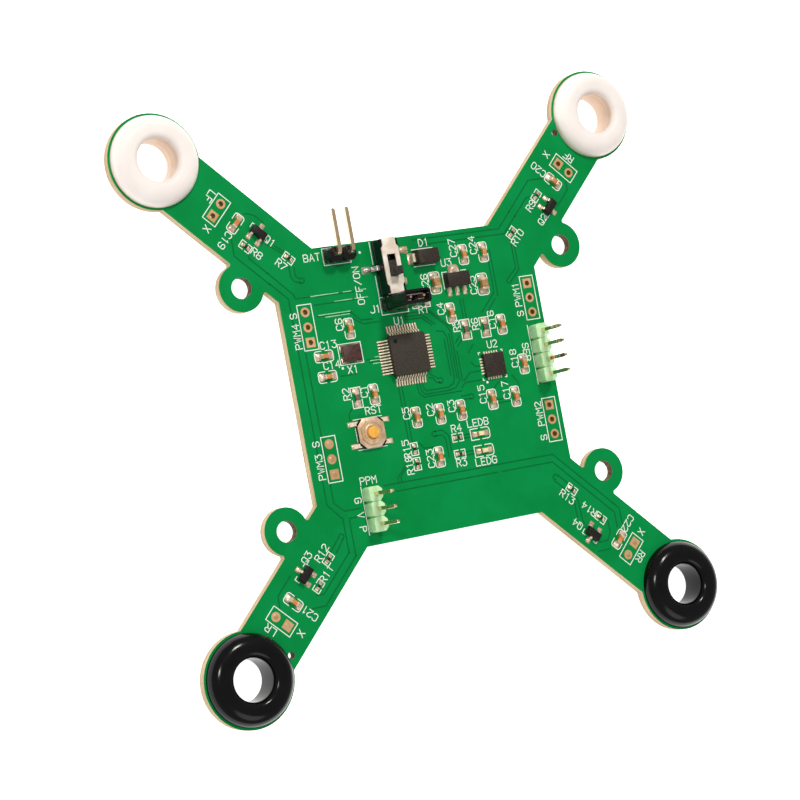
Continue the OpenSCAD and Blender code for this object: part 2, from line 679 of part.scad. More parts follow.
led_terminals();
led_lenses();
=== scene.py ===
"""Quadcopter frame board with built-in motor speed controllers: looks, light and camera.

Shapes are made in millimetres in the row frame and turned into metres when a piece is made.
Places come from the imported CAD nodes, so the parts sit where the CAD puts them.
"""
import bpy
import bmesh
import json
import math
from mathutils import Matrix, Vector


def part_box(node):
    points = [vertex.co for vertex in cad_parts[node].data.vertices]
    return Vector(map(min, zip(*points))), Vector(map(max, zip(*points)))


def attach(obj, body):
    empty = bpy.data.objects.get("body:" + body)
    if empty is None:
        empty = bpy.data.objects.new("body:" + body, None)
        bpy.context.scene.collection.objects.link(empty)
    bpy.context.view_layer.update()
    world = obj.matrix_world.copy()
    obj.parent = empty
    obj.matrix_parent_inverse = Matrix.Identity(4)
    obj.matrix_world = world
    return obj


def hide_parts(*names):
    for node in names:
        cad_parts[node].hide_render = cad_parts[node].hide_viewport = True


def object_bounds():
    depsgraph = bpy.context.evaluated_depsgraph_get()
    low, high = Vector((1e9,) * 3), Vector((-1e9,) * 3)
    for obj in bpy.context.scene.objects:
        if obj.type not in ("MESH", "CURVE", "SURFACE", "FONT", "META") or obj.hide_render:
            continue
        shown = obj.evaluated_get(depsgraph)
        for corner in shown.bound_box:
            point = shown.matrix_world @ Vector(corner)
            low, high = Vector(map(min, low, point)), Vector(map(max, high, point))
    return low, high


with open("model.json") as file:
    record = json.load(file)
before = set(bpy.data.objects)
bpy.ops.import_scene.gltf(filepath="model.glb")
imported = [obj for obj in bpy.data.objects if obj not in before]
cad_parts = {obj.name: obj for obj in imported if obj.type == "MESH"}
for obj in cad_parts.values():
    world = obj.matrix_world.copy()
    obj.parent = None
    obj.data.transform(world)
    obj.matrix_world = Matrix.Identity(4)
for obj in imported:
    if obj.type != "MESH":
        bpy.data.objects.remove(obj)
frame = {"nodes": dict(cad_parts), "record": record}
CAD_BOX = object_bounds()
MM = 0.001


def corners(node):
    """A CAD node's lowest and highest corners, in mm."""
    low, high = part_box(node)
    return Vector(low) / MM, Vector(high) / MM


def centre(node):
    low, high = corners(node)
    return (low + high) / 2


UNDER, TOP = (c.z for c in corners("circuit_board"))
ARMS = {"front_right": 45, "front_left": 135, "rear_left": 225, "rear_right": 315}
# The signs of a rectangle's four corners, anticlockwise
QUARTERS = [(1, -1), (1, 1), (-1, 1), (-1, -1)]


def add_object(name, data):
    obj = bpy.data.objects.new(name, data)
    bpy.context.scene.collection.objects.link(obj)
    return obj


# ------------------------------ camera

CAMERA_PLACE = (-0.1990, -0.0169, 0.3584)
CAMERA_ANGLES = (7.786, -27.641, -12.036)


def make_camera():
    cam = bpy.data.cameras.new("camera")
    cam.lens = 108.2
    cam.sensor_width = 36
    cam.clip_start = 0.02
    cam.clip_end = 20
    obj = add_object("camera", cam)
    obj.location = CAMERA_PLACE
    obj.rotation_euler = [math.radians(a) for a in CAMERA_ANGLES]
    bpy.context.scene.camera = obj


make_camera()


# ------------------------------ places

def shift(x, y=0.0, z=0.0):
    return Matrix.Translation((x, y, z))


def spin(angle, axis="Z"):
    """A turn of an angle in degrees."""
    return Matrix.Rotation(math.radians(angle), 4, axis)


def at(x, y, z=0.0, angle=0.0):
    """A place on the board's upper face, turned about Z."""
    return shift(x, y, TOP + z) @ spin(angle)


def on_arm(arm, u, v):
    """A place on an arm: u runs outwards along the arm and v across it."""
    return spin(ARMS[arm]) @ at(u, v)


def on_board(place, points):
    """A place's own flat points, as flat points of the board."""
    return [(place @ Vector((x, y, 0))).to_2d() for x, y in points]


def sides(place, n):
    """A place turned about Z in n equal steps, for a part's like sides."""
    return [place @ spin(360 * i / n) for i in range(n)]


def footprint(node):
    """A CAD node's place on the board, its size along X and Y, and its top's height there."""
    low, high = corners(node)
    mid = (low + high) / 2
    return at(mid.x, mid.y), high.x - low.x, high.y - low.y, high.z - TOP


def islands(node):
    """The centres of a CAD node's separate solids, in mm."""
    bm = bmesh.new()
    bm.from_mesh(frame["nodes"][node].data)
    bmesh.ops.remove_doubles(bm, verts=bm.verts, dist=1e-6)
    seen, found = set(), []
    for first in bm.verts:
        if first in seen:
            continue
        seen.add(first)
        stack, group = [first], []
        while stack:
            v = stack.pop()
            group.append(v.co / MM)
            for e in v.link_edges:
                w = e.other_vert(v)
                if w not in seen:
                    seen.add(w)
                    stack.append(w)
        low = Vector(min(c[i] for c in group) for i in range(3))
        high = Vector(max(c[i] for c in group) for i in range(3))
        found.append((low + high) / 2)
    bm.free()
    return found


def chip_places(node):
    """Each chip part's place, from its two metal ends."""
    ends, found = islands(node), []
    while ends:
        a = ends.pop()
        b = min(ends, key=lambda c: (c - a).length)
        ends.remove(b)
        mid, run = (a + b) / 2, b - a
        angle = math.degrees(math.atan2(run.y, run.x)) % 180
        found.append(at(mid.x, mid.y, 0, angle))
    return found


# ------------------------------ shapes
# A shape is a pair: its points in mm, and its faces.

def from_bmesh(bm):
    shape = [tuple(v.co) for v in bm.verts], [[v.index for v in f.verts] for f in bm.faces]
    bm.free()
    return shape


def rounded(shape, r, steps=2):
    """A closed shape with its edges rounded."""
    bm = bmesh.new()
    verts = [bm.verts.new(p) for p in shape[0]]
    for f in shape[1]:
        bm.faces.new([verts[i] for i in f])
    bmesh.ops.recalc_face_normals(bm, faces=bm.faces)
    sharp = [e for e in bm.edges if e.calc_face_angle(0) > 0.4]
    bmesh.ops.bevel(bm, geom=sharp, offset=r, segments=steps, profile=0.5, affect="EDGES",
                    clamp_overlap=True)
    bm.verts.index_update()
    return from_bmesh(bm)


def prism(outline, z0, z1, taper=1.0):
    """An outline raised from z0 to z1, its top scaled by taper."""
    n = len(outline)
    points = [(x, y, z0) for x, y in outline] + [(x * taper, y * taper, z1) for x, y in outline]
    faces = [list(range(n))[::-1], list(range(n, 2 * n))]
    faces += [[i, (i + 1) % n, n + (i + 1) % n, n + i] for i in range(n)]
    return points, faces


def rectangle(w, l, corner=0.0, steps=1):
    """A rectangle's outline, with cut or rounded corners."""
    if not corner:
        return [(-w / 2, -l / 2), (w / 2, -l / 2), (w / 2, l / 2), (-w / 2, l / 2)]
    points = []
    for quarter, (sx, sy) in enumerate(QUARTERS):
        cx, cy = sx * (w / 2 - corner), sy * (l / 2 - corner)
        for i in range(steps + 1):
            a = math.radians(90 * (quarter - 1) + 90 * i / steps)
            points.append((cx + corner * math.cos(a), cy + corner * math.sin(a)))
    return points


def box(w, l, z0, z1, r=0.0, steps=2):
    block = prism(rectangle(w, l), z0, z1)
    return rounded(block, r, steps) if r else block


def moulded(w, l, z0, z1, seam, draft=0.06, corner=0.0, r=0.03):
    """A moulded chip body: two halves that taper away from the seam's height."""
    wide = rectangle(w, l, corner)
    small = 1 - 2 * draft / w
    lower = rounded(prism([(x * small, y * small) for x, y in wide], z0, seam, 1 / small), r)
    upper = rounded(prism(wide, seam, z1, small), r)
    return merge([(lower, Matrix()), (upper, Matrix())])


def lathe(profile, steps=48):
    """A profile of (radius, height) points turned about Z. A radius of 0 closes an end."""
    points, faces, rings = [], [], []
    angles = [2 * math.pi * i / steps for i in range(steps)]
    for r, z in profile:
        if r == 0:
            rings.append([len(points)] * steps)
            points.append((0, 0, z))
        else:
            rings.append([len(points) + i for i in range(steps)])
            points += [(r * math.cos(a), r * math.sin(a), z) for a in angles]
    for a, b in zip(rings, rings[1:]):
        for i in range(steps):
            j = (i + 1) % steps
            face = []
            for k in (a[i], a[j], b[j], b[i]):
                if k not in face:
                    face.append(k)
            if len(face) > 2:
                faces.append(face)
    return points, faces


def arc(cx, cz, r, start, end, steps=8):
    """Points on an arc, for a profile."""
    angles = [math.radians(start + (end - start) * i / steps) for i in range(steps + 1)]
    return [(cx + r * math.cos(a), cz + r * math.sin(a)) for a in angles]


def bent_strip(path, w, t, r=0.02):
    """A sheet-metal strip of width w along Y, whose middle follows a path in XZ."""
    n = len(path)
    offsets = []
    for i in range(n):
        a, b = Vector(path[max(i - 1, 0)]), Vector(path[min(i + 1, n - 1)])
        run = (b - a).normalized()
        offsets.append(Vector((-run.y, run.x)) * t / 2)
    outer = [Vector(p) + o for p, o in zip(path, offsets)]
    inner = [Vector(p) - o for p, o in zip(path, offsets)]
    points, faces = prism([(p.x, p.y) for p in outer + inner[::-1]], -w / 2, w / 2)
    turned = [(x, z, y) for x, y, z in points]
    return rounded((turned, faces), r, 1) if r else (turned, faces)


def bend(points, r, steps=4):
    """A path with its inner corners rounded."""
    out = [points[0]]
    for a, b, c in zip(points, points[1:], points[2:]):
        a, b, c = Vector(a), Vector(b), Vector(c)
        p, q = b + (a - b).normalized() * r, b + (c - b).normalized() * r
        for i in range(steps + 1):
            t = i / steps
            out.append(tuple(p * (1 - t) ** 2 + b * 2 * t * (1 - t) + q * t * t))
    return out + [points[-1]]


def skin(rows, cols, ring=True, closed=False):
    """Faces over rows of points. Each row may be a ring, and the last row may meet the first."""
    faces = []
    for i in range(rows if closed else rows - 1):
        a, b = i * cols, (i + 1) % rows * cols
        for j in range(cols if ring else cols - 1):
            k = (j + 1) % cols
            faces.append([a + j, a + k, b + k, b + j])
    return faces


def rod(path, w, tip=0.55):
    """A square pin along a path in XYZ, narrowed to tip times its width at both ends."""
    points, n = [], len(path)
    for i, p in enumerate(path):
        run = (Vector(path[min(i + 1, n - 1)]) - Vector(path[max(i - 1, 0)])).normalized()
        up = run.cross(Vector((1, 0, 0))).normalized()
        across = up.cross(run).normalized()
        wide = w * tip if i in (0, n - 1) else w
        for x, y in rectangle(wide, wide, 0.04):
            points.append(tuple(Vector(p) + across * x + up * y))
    m = len(points) // n
    return points, skin(n, m) + [list(range(m))[::-1], list(range((n - 1) * m, n * m))]


def mound(w, l, h, crown=3.0, square=4.0, rings=6, steps=24):
    """A low solder dome on a pad: round for square=2, squarer for more."""
    points = []
    for i in range(rings):
        s = 1 - i / rings
        z = h * (1 - s ** crown)
        for j in range(steps):
            a = 2 * math.pi * j / steps
            c, d = math.cos(a), math.sin(a)
            k = (abs(c) ** square + abs(d) ** square) ** (-1 / square)
            points.append((s * w / 2 * c * k, s * l / 2 * d * k, z))
    last, top = (rings - 1) * steps, len(points)
    points.append((0, 0, h))
    return points, skin(rings, steps) + [[last + j, last + (j + 1) % steps, top] for j in range(steps)]


def fillet(w, run, rise, steps=7, across=6):
    """Solder drawn up against an end: high at x=0, falling in a hollow curve to x=run."""
    points = []
    for i in range(steps + 1):
        t = i / steps
        height = rise * (1 - t) ** 2.2 + 0.05 * (1 - t ** 6)
        width = w * (1 - 0.12 * t ** 3)
        for j in range(across + 1):
            s = 2 * j / across - 1
            points.append((run * t, width / 2 * s, height * (1 - abs(s) ** 5)))
    return points, skin(steps + 1, across + 1, ring=False)


def ribbon(path, width, height):
    """A thin raised line along a flat path, with sloping sides."""
    path = [Vector(p) for p in path]
    runs = [(b - a).normalized() for a, b in zip(path, path[1:])]
    runs = runs[:1] + runs + runs[-1:]
    path[0] -= runs[0] * width / 2
    path[-1] += runs[-1] * width / 2
    points, n = [], len(path)
    for p, before, after in zip(path, runs, runs[1:]):
        both = before + after
        normal = Vector((-both.y, both.x)).normalized()
        reach = 1 / max(0.5, normal.dot(Vector((-before.y, before.x))))
        for side, z in ((-0.5, 0), (-0.32, height), (0.32, height), (0.5, 0)):
            q = p + normal * reach * width * side
            points.append((q.x, q.y, z))
    return points, skin(n, 4, ring=False) + [[0, 1, 2, 3], [(n - 1) * 4 + j for j in (3, 2, 1, 0)]]


def merge(parts):
    """Several (shape, place) pairs as one shape."""
    points, faces = [], []
    for shape, place in parts:
        start = len(points)
        points += [tuple(place @ Vector(p)) for p in shape[0]]
        faces += [[start + i for i in f] for f in shape[1]]
    return points, faces


def piece(name, parts, mat, body="board", replaces=(), sharp=35, flat=False):
    """One Blender piece from (shape, place) pairs, riding on a CAD body; flat means it faces up."""
    points, faces = merge(parts)
    mesh = bpy.data.meshes.new(name)
    mesh.from_pydata([Vector(p) * MM for p in points], [], faces)
    bm = bmesh.new()
    bm.from_mesh(mesh)
    bmesh.ops.recalc_face_normals(bm, faces=bm.faces)
    if flat:
        for f in bm.faces:
            if f.normal.z < -0.01:
                f.normal_flip()
    bm.to_mesh(mesh)
    bm.free()
    mesh.shade_smooth()
    mesh.set_sharp_from_angle(angle=math.radians(sharp))
    mesh.materials.append(mat)
    obj = add_object(name, mesh)
    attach(obj, body)
    if replaces:
        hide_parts(*replaces)


# ------------------------------ materials

def colour(r, g, b):
    """An sRGB colour of 0 to 255 as a linear one."""
    linear = [c / 255 / 12.92 if c < 10 else ((c / 255 + 0.055) / 1.055) ** 2.4 for c in (r, g, b)]
    return tuple(linear) + (1,)


class Nodes:
    """A material's node tree, with short ways to add to it."""

    def __init__(self, name):
        self.mat = bpy.data.materials.new(name)
        self.mat.use_nodes = True
        self.tree = self.mat.node_tree
        self.shader = self.tree.nodes["Principled BSDF"]
        self.point = self.add("TexCoord").outputs["Object"]

    def link(self, a, b):
        self.tree.links.new(a, b)

    def set(self, node, **values):
        """A node's socket values, by names with _ for each space."""
        for name, value in values.items():
            node.inputs[name.replace("_", " ")].default_value = value

    def add(self, kind, **values):
        node = self.tree.nodes.new("ShaderNode" + kind)
        self.set(node, **values)
        return node

    def noise(self, scale, detail=4, rough=0.55, stretch=None):
        n = self.add("TexNoise", Scale=scale, Detail=detail, Roughness=rough)
        source = self.point
        if stretch:
            m = self.add("Mapping", Scale=stretch)
            self.link(source, m.inputs["Vector"])
            source = m.outputs["Vector"]
        self.link(source, n.inputs["Vector"])
        return n.outputs["Fac"]

    def ramp(self, fac, low, high):
        """Two colours of 0 to 255, blended over the middle of a noise's range."""
        r = self.add("ValToRGB")
        for element, position, rgb in zip(r.color_ramp.elements, (0.35, 0.65), (low, high)):
            element.position = position
            element.color = colour(*rgb)
        self.link(fac, r.inputs["Fac"])
        return r.outputs["Color"]

    def spread(self, fac, low, high):
        m = self.add("MapRange", From_Min=0.3, From_Max=0.7, To_Min=low, To_Max=high)
        self.link(fac, m.inputs["Value"])
        return m.outputs["Result"]

    def mix(self, fac, a, b):
        m = self.tree.nodes.new("ShaderNodeMix")
        m.data_type = "RGBA"
        self.link(fac, m.inputs["Factor"])
        for socket, value in ((m.inputs["A"], a), (m.inputs["B"], b)):
            if isinstance(value, tuple):
                socket.default_value = value
            else:
                self.link(value, socket)
        return m.outputs["Result"]

    def bump(self, height, distance, strength=1.0):
        b = self.add("Bump", Strength=strength, Distance=distance * MM)
        self.link(height, b.inputs["Height"])
        self.link(b.outputs["Normal"], self.shader.inputs["Normal"])


def surface(name, low, high, rough=(0.3, 0.4), scale=900, bump=0.01, bump_scale=None, specular=0.5,
            **values):
    """A material whose colour, roughness and height vary a little over the surface."""
    n = Nodes(name)
    n.link(n.ramp(n.noise(scale), low, high), n.shader.inputs["Base Color"])
    n.link(n.spread(n.noise(scale * 1.7, 3), *rough), n.shader.inputs["Roughness"])
    n.bump(n.noise(bump_scale or scale * 2.5, 3), bump)
    n.set(n.shader, Specular_IOR_Level=specular, **values)
    return n.mat


def faced(name, flat, side, rough, specular, metallic=0.0, bump=0.01, soft=0.0):
    """A material with one pair of colours on its level faces and another on its upright ones. On the board
    the upright pair is the real colour of its cut edges; on the plated holes and the white rubber it is
    painted shade on the walls.

    soft is the upward tilt by which the second pair has faded into the first; 0 is a sharp change.
    """
    n = Nodes(name)
    top = n.ramp(n.noise(160, 5), *flat)
    top = n.mix(n.spread(n.noise(1400, 3), 0, 0.2), top, colour(*flat[0]))
    # The upright faces' colours: real cut laminate for the board, painted shade for the hole barrels and
    # the rubber's walls
    edge = n.ramp(n.noise(420, 4, 0.6, (0.35, 0.35, 9)), *side)
    facing, steep = n.add("SeparateXYZ"), n.add("Math")
    steep.operation = "ABSOLUTE"
    n.link(n.add("NewGeometry").outputs["Normal" if soft else "True Normal"], facing.inputs[0])
    n.link(facing.outputs["Z"], steep.inputs[0])
    level = n.add("MapRange", From_Min=0.0 if soft else 0.49, From_Max=soft or 0.51)
    n.link(steep.outputs[0], level.inputs["Value"])
    n.link(n.mix(level.outputs[0], edge, top), n.shader.inputs["Base Color"])
    polish = n.add("MapRange", To_Min=rough if soft else 0.8, To_Max=rough)
    n.link(level.outputs[0], polish.inputs["Value"])
    n.link(polish.outputs["Result"], n.shader.inputs["Roughness"])
    n.bump(n.noise(700, 3), bump, 0.6)
    n.set(n.shader, Specular_IOR_Level=specular, Metallic=metallic)
    return n.mat


# Each colour is sRGB, 0 to 255
MASK = faced("solder_mask", ((0, 131, 61), (3, 141, 70)), ((170, 144, 112), (210, 186, 154)), 0.4, 0.08)
# Plated holes: the darker upright colours on the barrels are painted shade inside the holes
PLATED = faced("plated_pad_shaded_barrel", ((208, 156, 102), (236, 188, 136)), ((128, 84, 54), (168, 114, 74)), 0.36,
               0.4, 0.3, 0.006)
TRACK = surface("mask_over_gaps", (0, 101, 48), (0, 111, 54), (0.4, 0.5), 1500, 0.003, specular=0.1)
# Pale green painted glints along the tracks' edges
GLINT = surface("painted_track_glint", (110, 196, 140), (176, 226, 186), (0.3, 0.4), 900, 0.003)
SILK = surface("silkscreen_ink", (236, 242, 233), (250, 252, 246), (0.5, 0.62), 2500, 0.004)
COPPER = surface("tinned_copper", (176, 146, 120), (206, 176, 150), (0.3, 0.42), 1200, 0.006,
                 Metallic=0.3)
SOLDER = surface("solder", (204, 170, 140), (246, 226, 202), (0.24, 0.4), 900, 0.02, 1200, Metallic=0.5)
BLOB = surface("lump_of_solder", (168, 156, 150), (226, 216, 210), (0.2, 0.34), 600, 0.05, 900,
               Metallic=0.75)
FILLED = surface("filled_hole", (164, 130, 104), (206, 172, 144), (0.34, 0.46), 900, 0.03, Metallic=0.2)
TIN = surface("tinned_lead", (234, 208, 180), (252, 236, 212), (0.26, 0.36), 1600, 0.006, Metallic=0.2)
CHIP = surface("chip_epoxy", (50, 46, 39), (68, 62, 52), (0.5, 0.62), 3800, 0.015, 5200, specular=0.2)
BLACK_CHIP = surface("black_epoxy", (20, 17, 15), (36, 30, 27), (0.36, 0.5), 3800, 0.012, 5200,
                     specular=0.25)
DARK_CHIP = surface("dark_epoxy", (40, 33, 29), (60, 51, 44), (0.42, 0.55), 3800, 0.012, 5200,
                    specular=0.22)
CERAMIC = surface("capacitor_ceramic", (190, 118, 58), (226, 150, 82), (0.42, 0.55), 2400, 0.008,
                  specular=0.3)
CERAMIC_DARK = surface("large_capacitor_ceramic", (150, 106, 64), (192, 146, 94), (0.42, 0.55), 2000,
                       0.008, specular=0.3)
RESISTOR = surface("resistor_coating", (36, 27, 25), (54, 42, 38), (0.3, 0.42), 2600, 0.008, specular=0.3)
RESISTOR_BROWN = surface("large_resistor_coating", (102, 82, 72), (136, 110, 96), (0.36, 0.48), 2600,
                         0.008, specular=0.3)
# White rubber: its bore and outer rim fade to a darker tan, painted shade on the upright walls
WHITE_RUBBER = faced("white_rubber", ((240, 230, 224), (247, 239, 233)),
                     ((208, 184, 162), (222, 200, 180)), 0.42, 0.25, soft=0.45)
BLACK_RUBBER = surface("black_rubber", (6, 5, 5), (12, 10, 10), (0.13, 0.2), 260, 0.02, 420,
                       specular=0.22)
LID = surface("crystal_lid", (66, 40, 35), (92, 60, 52), (0.36, 0.46), 1500, 0.01, Metallic=0.3)
BASE_CERAMIC = surface("crystal_base", (84, 66, 50), (122, 100, 78), (0.5, 0.6), 1800, 0.01)
SWITCH_PLASTIC = surface("switch_plastic", (4, 6, 12), (9, 12, 20), (0.12, 0.22), 700, 0.008,
                         specular=0.3)
SWITCH_METAL = surface("switch_cover_metal", (226, 208, 186), (254, 246, 234), (0.34, 0.46), 520, 0.02,
                       900, Metallic=0.1)
KNOB = surface("knob_plastic", (40, 37, 35), (60, 56, 52), (0.42, 0.55), 1400, 0.01, specular=0.2)
BLACK = surface("black_plastic", (7, 7, 8), (15, 14, 15), (0.2, 0.3), 1000, 0.01, specular=0.35)
# Cut laminate, darkened as painted shade inside the fixing and tooling holes
CUT_AND_SHADE = surface("cut_laminate_painted_shade", (66, 38, 26), (128, 88, 62), (0.5, 0.7), 1400, 0.02, specular=0.2)
# Dark green of a mask opening, darkened as painted shade between fine-pitch leads
BARE_AND_SHADE = surface("bare_laminate_painted_shade", (20, 58, 30), (38, 78, 42), (0.5, 0.6), 2200, 0.004, specular=0.1)
GREEN = surface("pale_green_plastic", (184, 230, 170), (210, 249, 197), (0.3, 0.42), 500, 0.01,
                specular=0.3)
PIN = surface("pin_plating", (226, 194, 160), (242, 214, 182), (0.06, 0.12), 1300, 0.001, Metallic=0.92)
GOLD = surface("contact_plating", (214, 176, 118), (240, 208, 152), (0.2, 0.32), 1300, 0.006,
               Metallic=0.8)
CLIP = surface("jumper_contact", (190, 166, 156), (240, 222, 214), (0.16, 0.28), 900, 0.01, Metallic=0.7)
BUTTON_METAL = surface("button_cover_metal", (214, 178, 138), (246, 218, 184), (0.26, 0.36), 700, 0.008,
                       Metallic=0.5)
AMBER = surface("amber_plastic", (236, 162, 48), (252, 192, 86), (0.4, 0.5), 900, 0.01,
                Subsurface_Weight=0.2, Subsurface_Scale=0.001)
LED_END = surface("led_terminal", (228, 186, 138), (250, 226, 188), (0.3, 0.42), 1500, 0.004,
                  specular=0.3)
LED_BASE = surface("led_base", (238, 222, 190), (250, 240, 216), (0.4, 0.5), 2000, 0.006)
LENS = surface("led_lens", (236, 212, 150), (252, 236, 190), (0.12, 0.22), 1800, 0.006, Coat_Weight=0.3)


# CAD nodes whose shapes are right keep them, and take better materials
for node, mat in {
    "circuit_board": MASK, "plated_holes": PLATED, "processor_body": CHIP, "motion_sensor_terminals": TIN,
    "regulator_leads": TIN, "diode_terminals": TIN, "switch_base": SWITCH_PLASTIC,
    "switch_contacts": GOLD, "switch_wiper": GOLD, "switch_cover": SWITCH_METAL, "reset_base": BLACK,
    "reset_dome": TIN, "jumper_cap": BLACK, "jumper_clip": CLIP, "led_terminals": LED_END,
}.items():
    materials = frame["nodes"][node].data.materials
    materials.clear()
    materials.append(mat)


TOOLING_HOLE = (52.6, 3.95)
TOOLING_R = 0.6


def hole_linings():
    """The cut wall of each fixing and tooling hole, darker than the board's outer edges: painted shade
    inside the holes.
    """
    bolts = next(m["dims"] for m in frame["record"]["mounts"] if m["kind"] == "bolt_pattern")
    x, y = bolts["spacing_x_mm"] / 2, bolts["spacing_y_mm"] / 2
    holes = [(at(sx * x, sy * y), bolts["hole_r_mm"]) for sx, sy in QUARTERS]
    holes += [(on_arm(arm, *TOOLING_HOLE), TOOLING_R) for arm in ("front_right", "rear_left")]
    foot, rim = UNDER - TOP + 0.04, -0.04
    walls = []
    for place, r in holes:
        wall = [(r - 0.02, foot), (r + 0.1, foot), (r + 0.1, rim), (r - 0.02, rim), (r - 0.02, foot)]
        walls.append((lathe(wall), place))
    piece("hole_wall_painted_shade", walls, CUT_AND_SHADE)


hole_linings()


# ------------------------------ grommets

def grommets():
    low, high = corners("grommet_front_left")
    r, height = (high.x - low.x) / 2, TOP + UNDER
    flange = UNDER - low.z
    motor = frame["record"]["mounts"][0]["dims"]
    bore, lip = motor["r_mm"], (high.z - low.z - motor["length_mm"]) / 2
    crown = r - flange
    upper = arc(crown, TOP, flange, 0, 90, 16) + arc(bore + lip, TOP + flange - lip, lip, 90, 180, 12)
    lower = [(x, height - z) for x, z in reversed(upper)]
    profile = upper + lower + [(crown + 0.4, UNDER), (crown + 0.4, TOP), (r, TOP)]
    for arm in ARMS:
        node = "grommet_" + arm
        mid = centre(node)
        white = arm.startswith("front")
        piece(node + "_rubber", [(lathe(profile, 112), shift(mid.x, mid.y))],
              WHITE_RUBBER if white else BLACK_RUBBER,
              replaces=[node], sharp=60)


grommets()


# ------------------------------ chip parts

PADS, JOINTS = [], []


def pad(place, w, l, corner=0.06, steps=1, thick=0.035):
    """A bare pad lying on the board."""
    PADS.append((prism(rectangle(w, l, corner, steps), 0, thick), place))


def joint(shape, place):
    """Solder on a part's lead or end."""
    JOINTS.append((shape, place))


def chip_parts(kind, mat, size, end, land, reach, tall):
    """All chip parts of one size: body, metal ends, pads and the solder drawn up the ends.

    size is the part's; end is an end's length; land is a pad's length, width and distance out.
    """
    length, width, height = size
    places = chip_places(kind + "_ends")
    body = box(length - 1.2 * end, width - 0.1, 0.03, height - 0.06, 0.03)
    cap = box(end, width + 0.02, 0.03, height + 0.01, 0.07, 3)
    piece(kind + "_body", [(body, p) for p in places], mat, replaces=[kind + "_bodies"])
    piece(kind + "_end", [(cap, p @ shift(s * (length - end) / 2)) for p in places for s in (-1, 1)],
          SOLDER, replaces=[kind + "_ends"])
    solder = fillet(land[1] - 0.12, reach, tall)
    for p in places:
        for side in sides(p, 2):
            pad(side @ shift(land[2]), land[0] - 0.08, land[1] - 0.1, thick=0.03)
            joint(solder, side @ shift(length / 2 - 0.03, 0, 0.03))
    return places


CAPS = chip_parts("small_capacitor", CERAMIC,
                  (1.6, 0.8, 0.8), 0.35, (1.05, 1.3, 1.15), 0.86, 0.42)
BIG_CAPS = chip_parts("large_capacitor", CERAMIC_DARK,
                      (2.0, 1.25, 1.1), 0.4, (1.1, 1.6, 1.2), 0.72, 0.5)
RESISTORS = chip_parts("large_resistor", RESISTOR_BROWN,
                       (1.6, 0.8, 0.45), 0.3, (1.05, 1.3, 1.15), 0.86, 0.28)
SMALL_RESISTORS = chip_parts("small_resistor", RESISTOR,
                             (1.0, 0.5, 0.35), 0.25, (0.62, 0.72, 0.6), 0.38, 0.2)
LED_PLACES = chip_places("led_terminals")


def leds():
    base = box(1.5, 0.8, 0.03, 0.25, 0.03)
    lens = rounded(prism(rectangle(1.15, 0.78), 0.24, 0.6, 0.86), 0.06)
    piece("led_body", [(base, p) for p in LED_PLACES], LED_BASE, replaces=["led_bases"])
    piece("led_lens", [(lens, p) for p in LED_PLACES], LENS, replaces=["led_lenses"])
    for p in LED_PLACES:
        for side in sides(p, 2):
            pad(side @ shift(1.15), 0.95, 0.95)
            joint(fillet(0.8, 0.72, 0.16), side @ shift(0.75, 0, 0.03))


leds()


# ------------------------------ leaded chips

def gull(start, toe, shoulder, w, t, foot):
    """A gull-wing lead from the body's side down to the board."""
    sole = t / 2 + 0.04
    path = [(start - 0.1, shoulder), (start + 0.22, shoulder), (toe - foot, sole), (toe, sole)]
    return bent_strip(bend(path, 0.12, 3), w, t, 0)


def processor():
    place, w, _, top = footprint("processor_body")
    body = moulded(w, w, 0.12, top, 0.78, 0.09, 0.35)
    piece("processor_case", [(body, place)], CHIP, replaces=["processor_body"])
    mark = lathe([(0, 0.006), (0.26, 0.006), (0.33, 0.02), (0.38, 0.0)], 24)
    out = w / 2 - 1.1
    piece("processor_mark", [(mark, place @ shift(-out, out, top))], BLACK)
    lead = gull(w / 2, 4.55, 0.76, 0.21, 0.13, 0.5)
    leads, pads, gaps = [], [], []
    for side in sides(place, 4):
        # A dark sheet under each row of leads: a mask opening, its dark colour painted shade between the
        # leads
        gaps.append((prism(rectangle(1.3, 5.9), 0, 0.012), side @ shift(4.5)))
        for i in range(12):
            y = (i - 5.5) * 0.5
            leads.append((lead, side @ shift(0, y, 0.02)))
            pads.append((prism(rectangle(1.25, 0.27), 0, 0.03), side @ shift(4.5, y)))
            pads.append((fillet(0.22, 0.5, 0.14, 4, 4), side @ shift(4.5, y, 0.03)))
    piece("processor_lead", leads, TIN, replaces=["processor_leads"])
    piece("processor_pad", pads, TIN)
    piece("processor_mask_opening_painted_shade", gaps, BARE_AND_SHADE)


def motion_sensor():
    place, w, _, top = footprint("motion_sensor_body")
    body = rounded(prism(rectangle(w, w), 0.06, top), 0.04)
    piece("motion_sensor_case", [(body, place)], DARK_CHIP, replaces=["motion_sensor_body"])
    dot = lathe([(0, 0.01), (0.16, 0.01), (0.2, 0)], 20)
    piece("motion_sensor_mark", [(dot, place @ shift(-1.45, -1.45, top))], CHIP)
    pads = []
    for side in sides(place, 4):
        for i in range(6):
            y = (i - 2.5) * 0.5
            pads.append((prism(rectangle(0.7, 0.28), 0, 0.03), side @ shift(2.1, y)))
            pads.append((fillet(0.25, 0.36, 0.2, 4, 4), side @ shift(1.99, y, 0.03)))
    piece("motion_sensor_pad", pads, TIN)


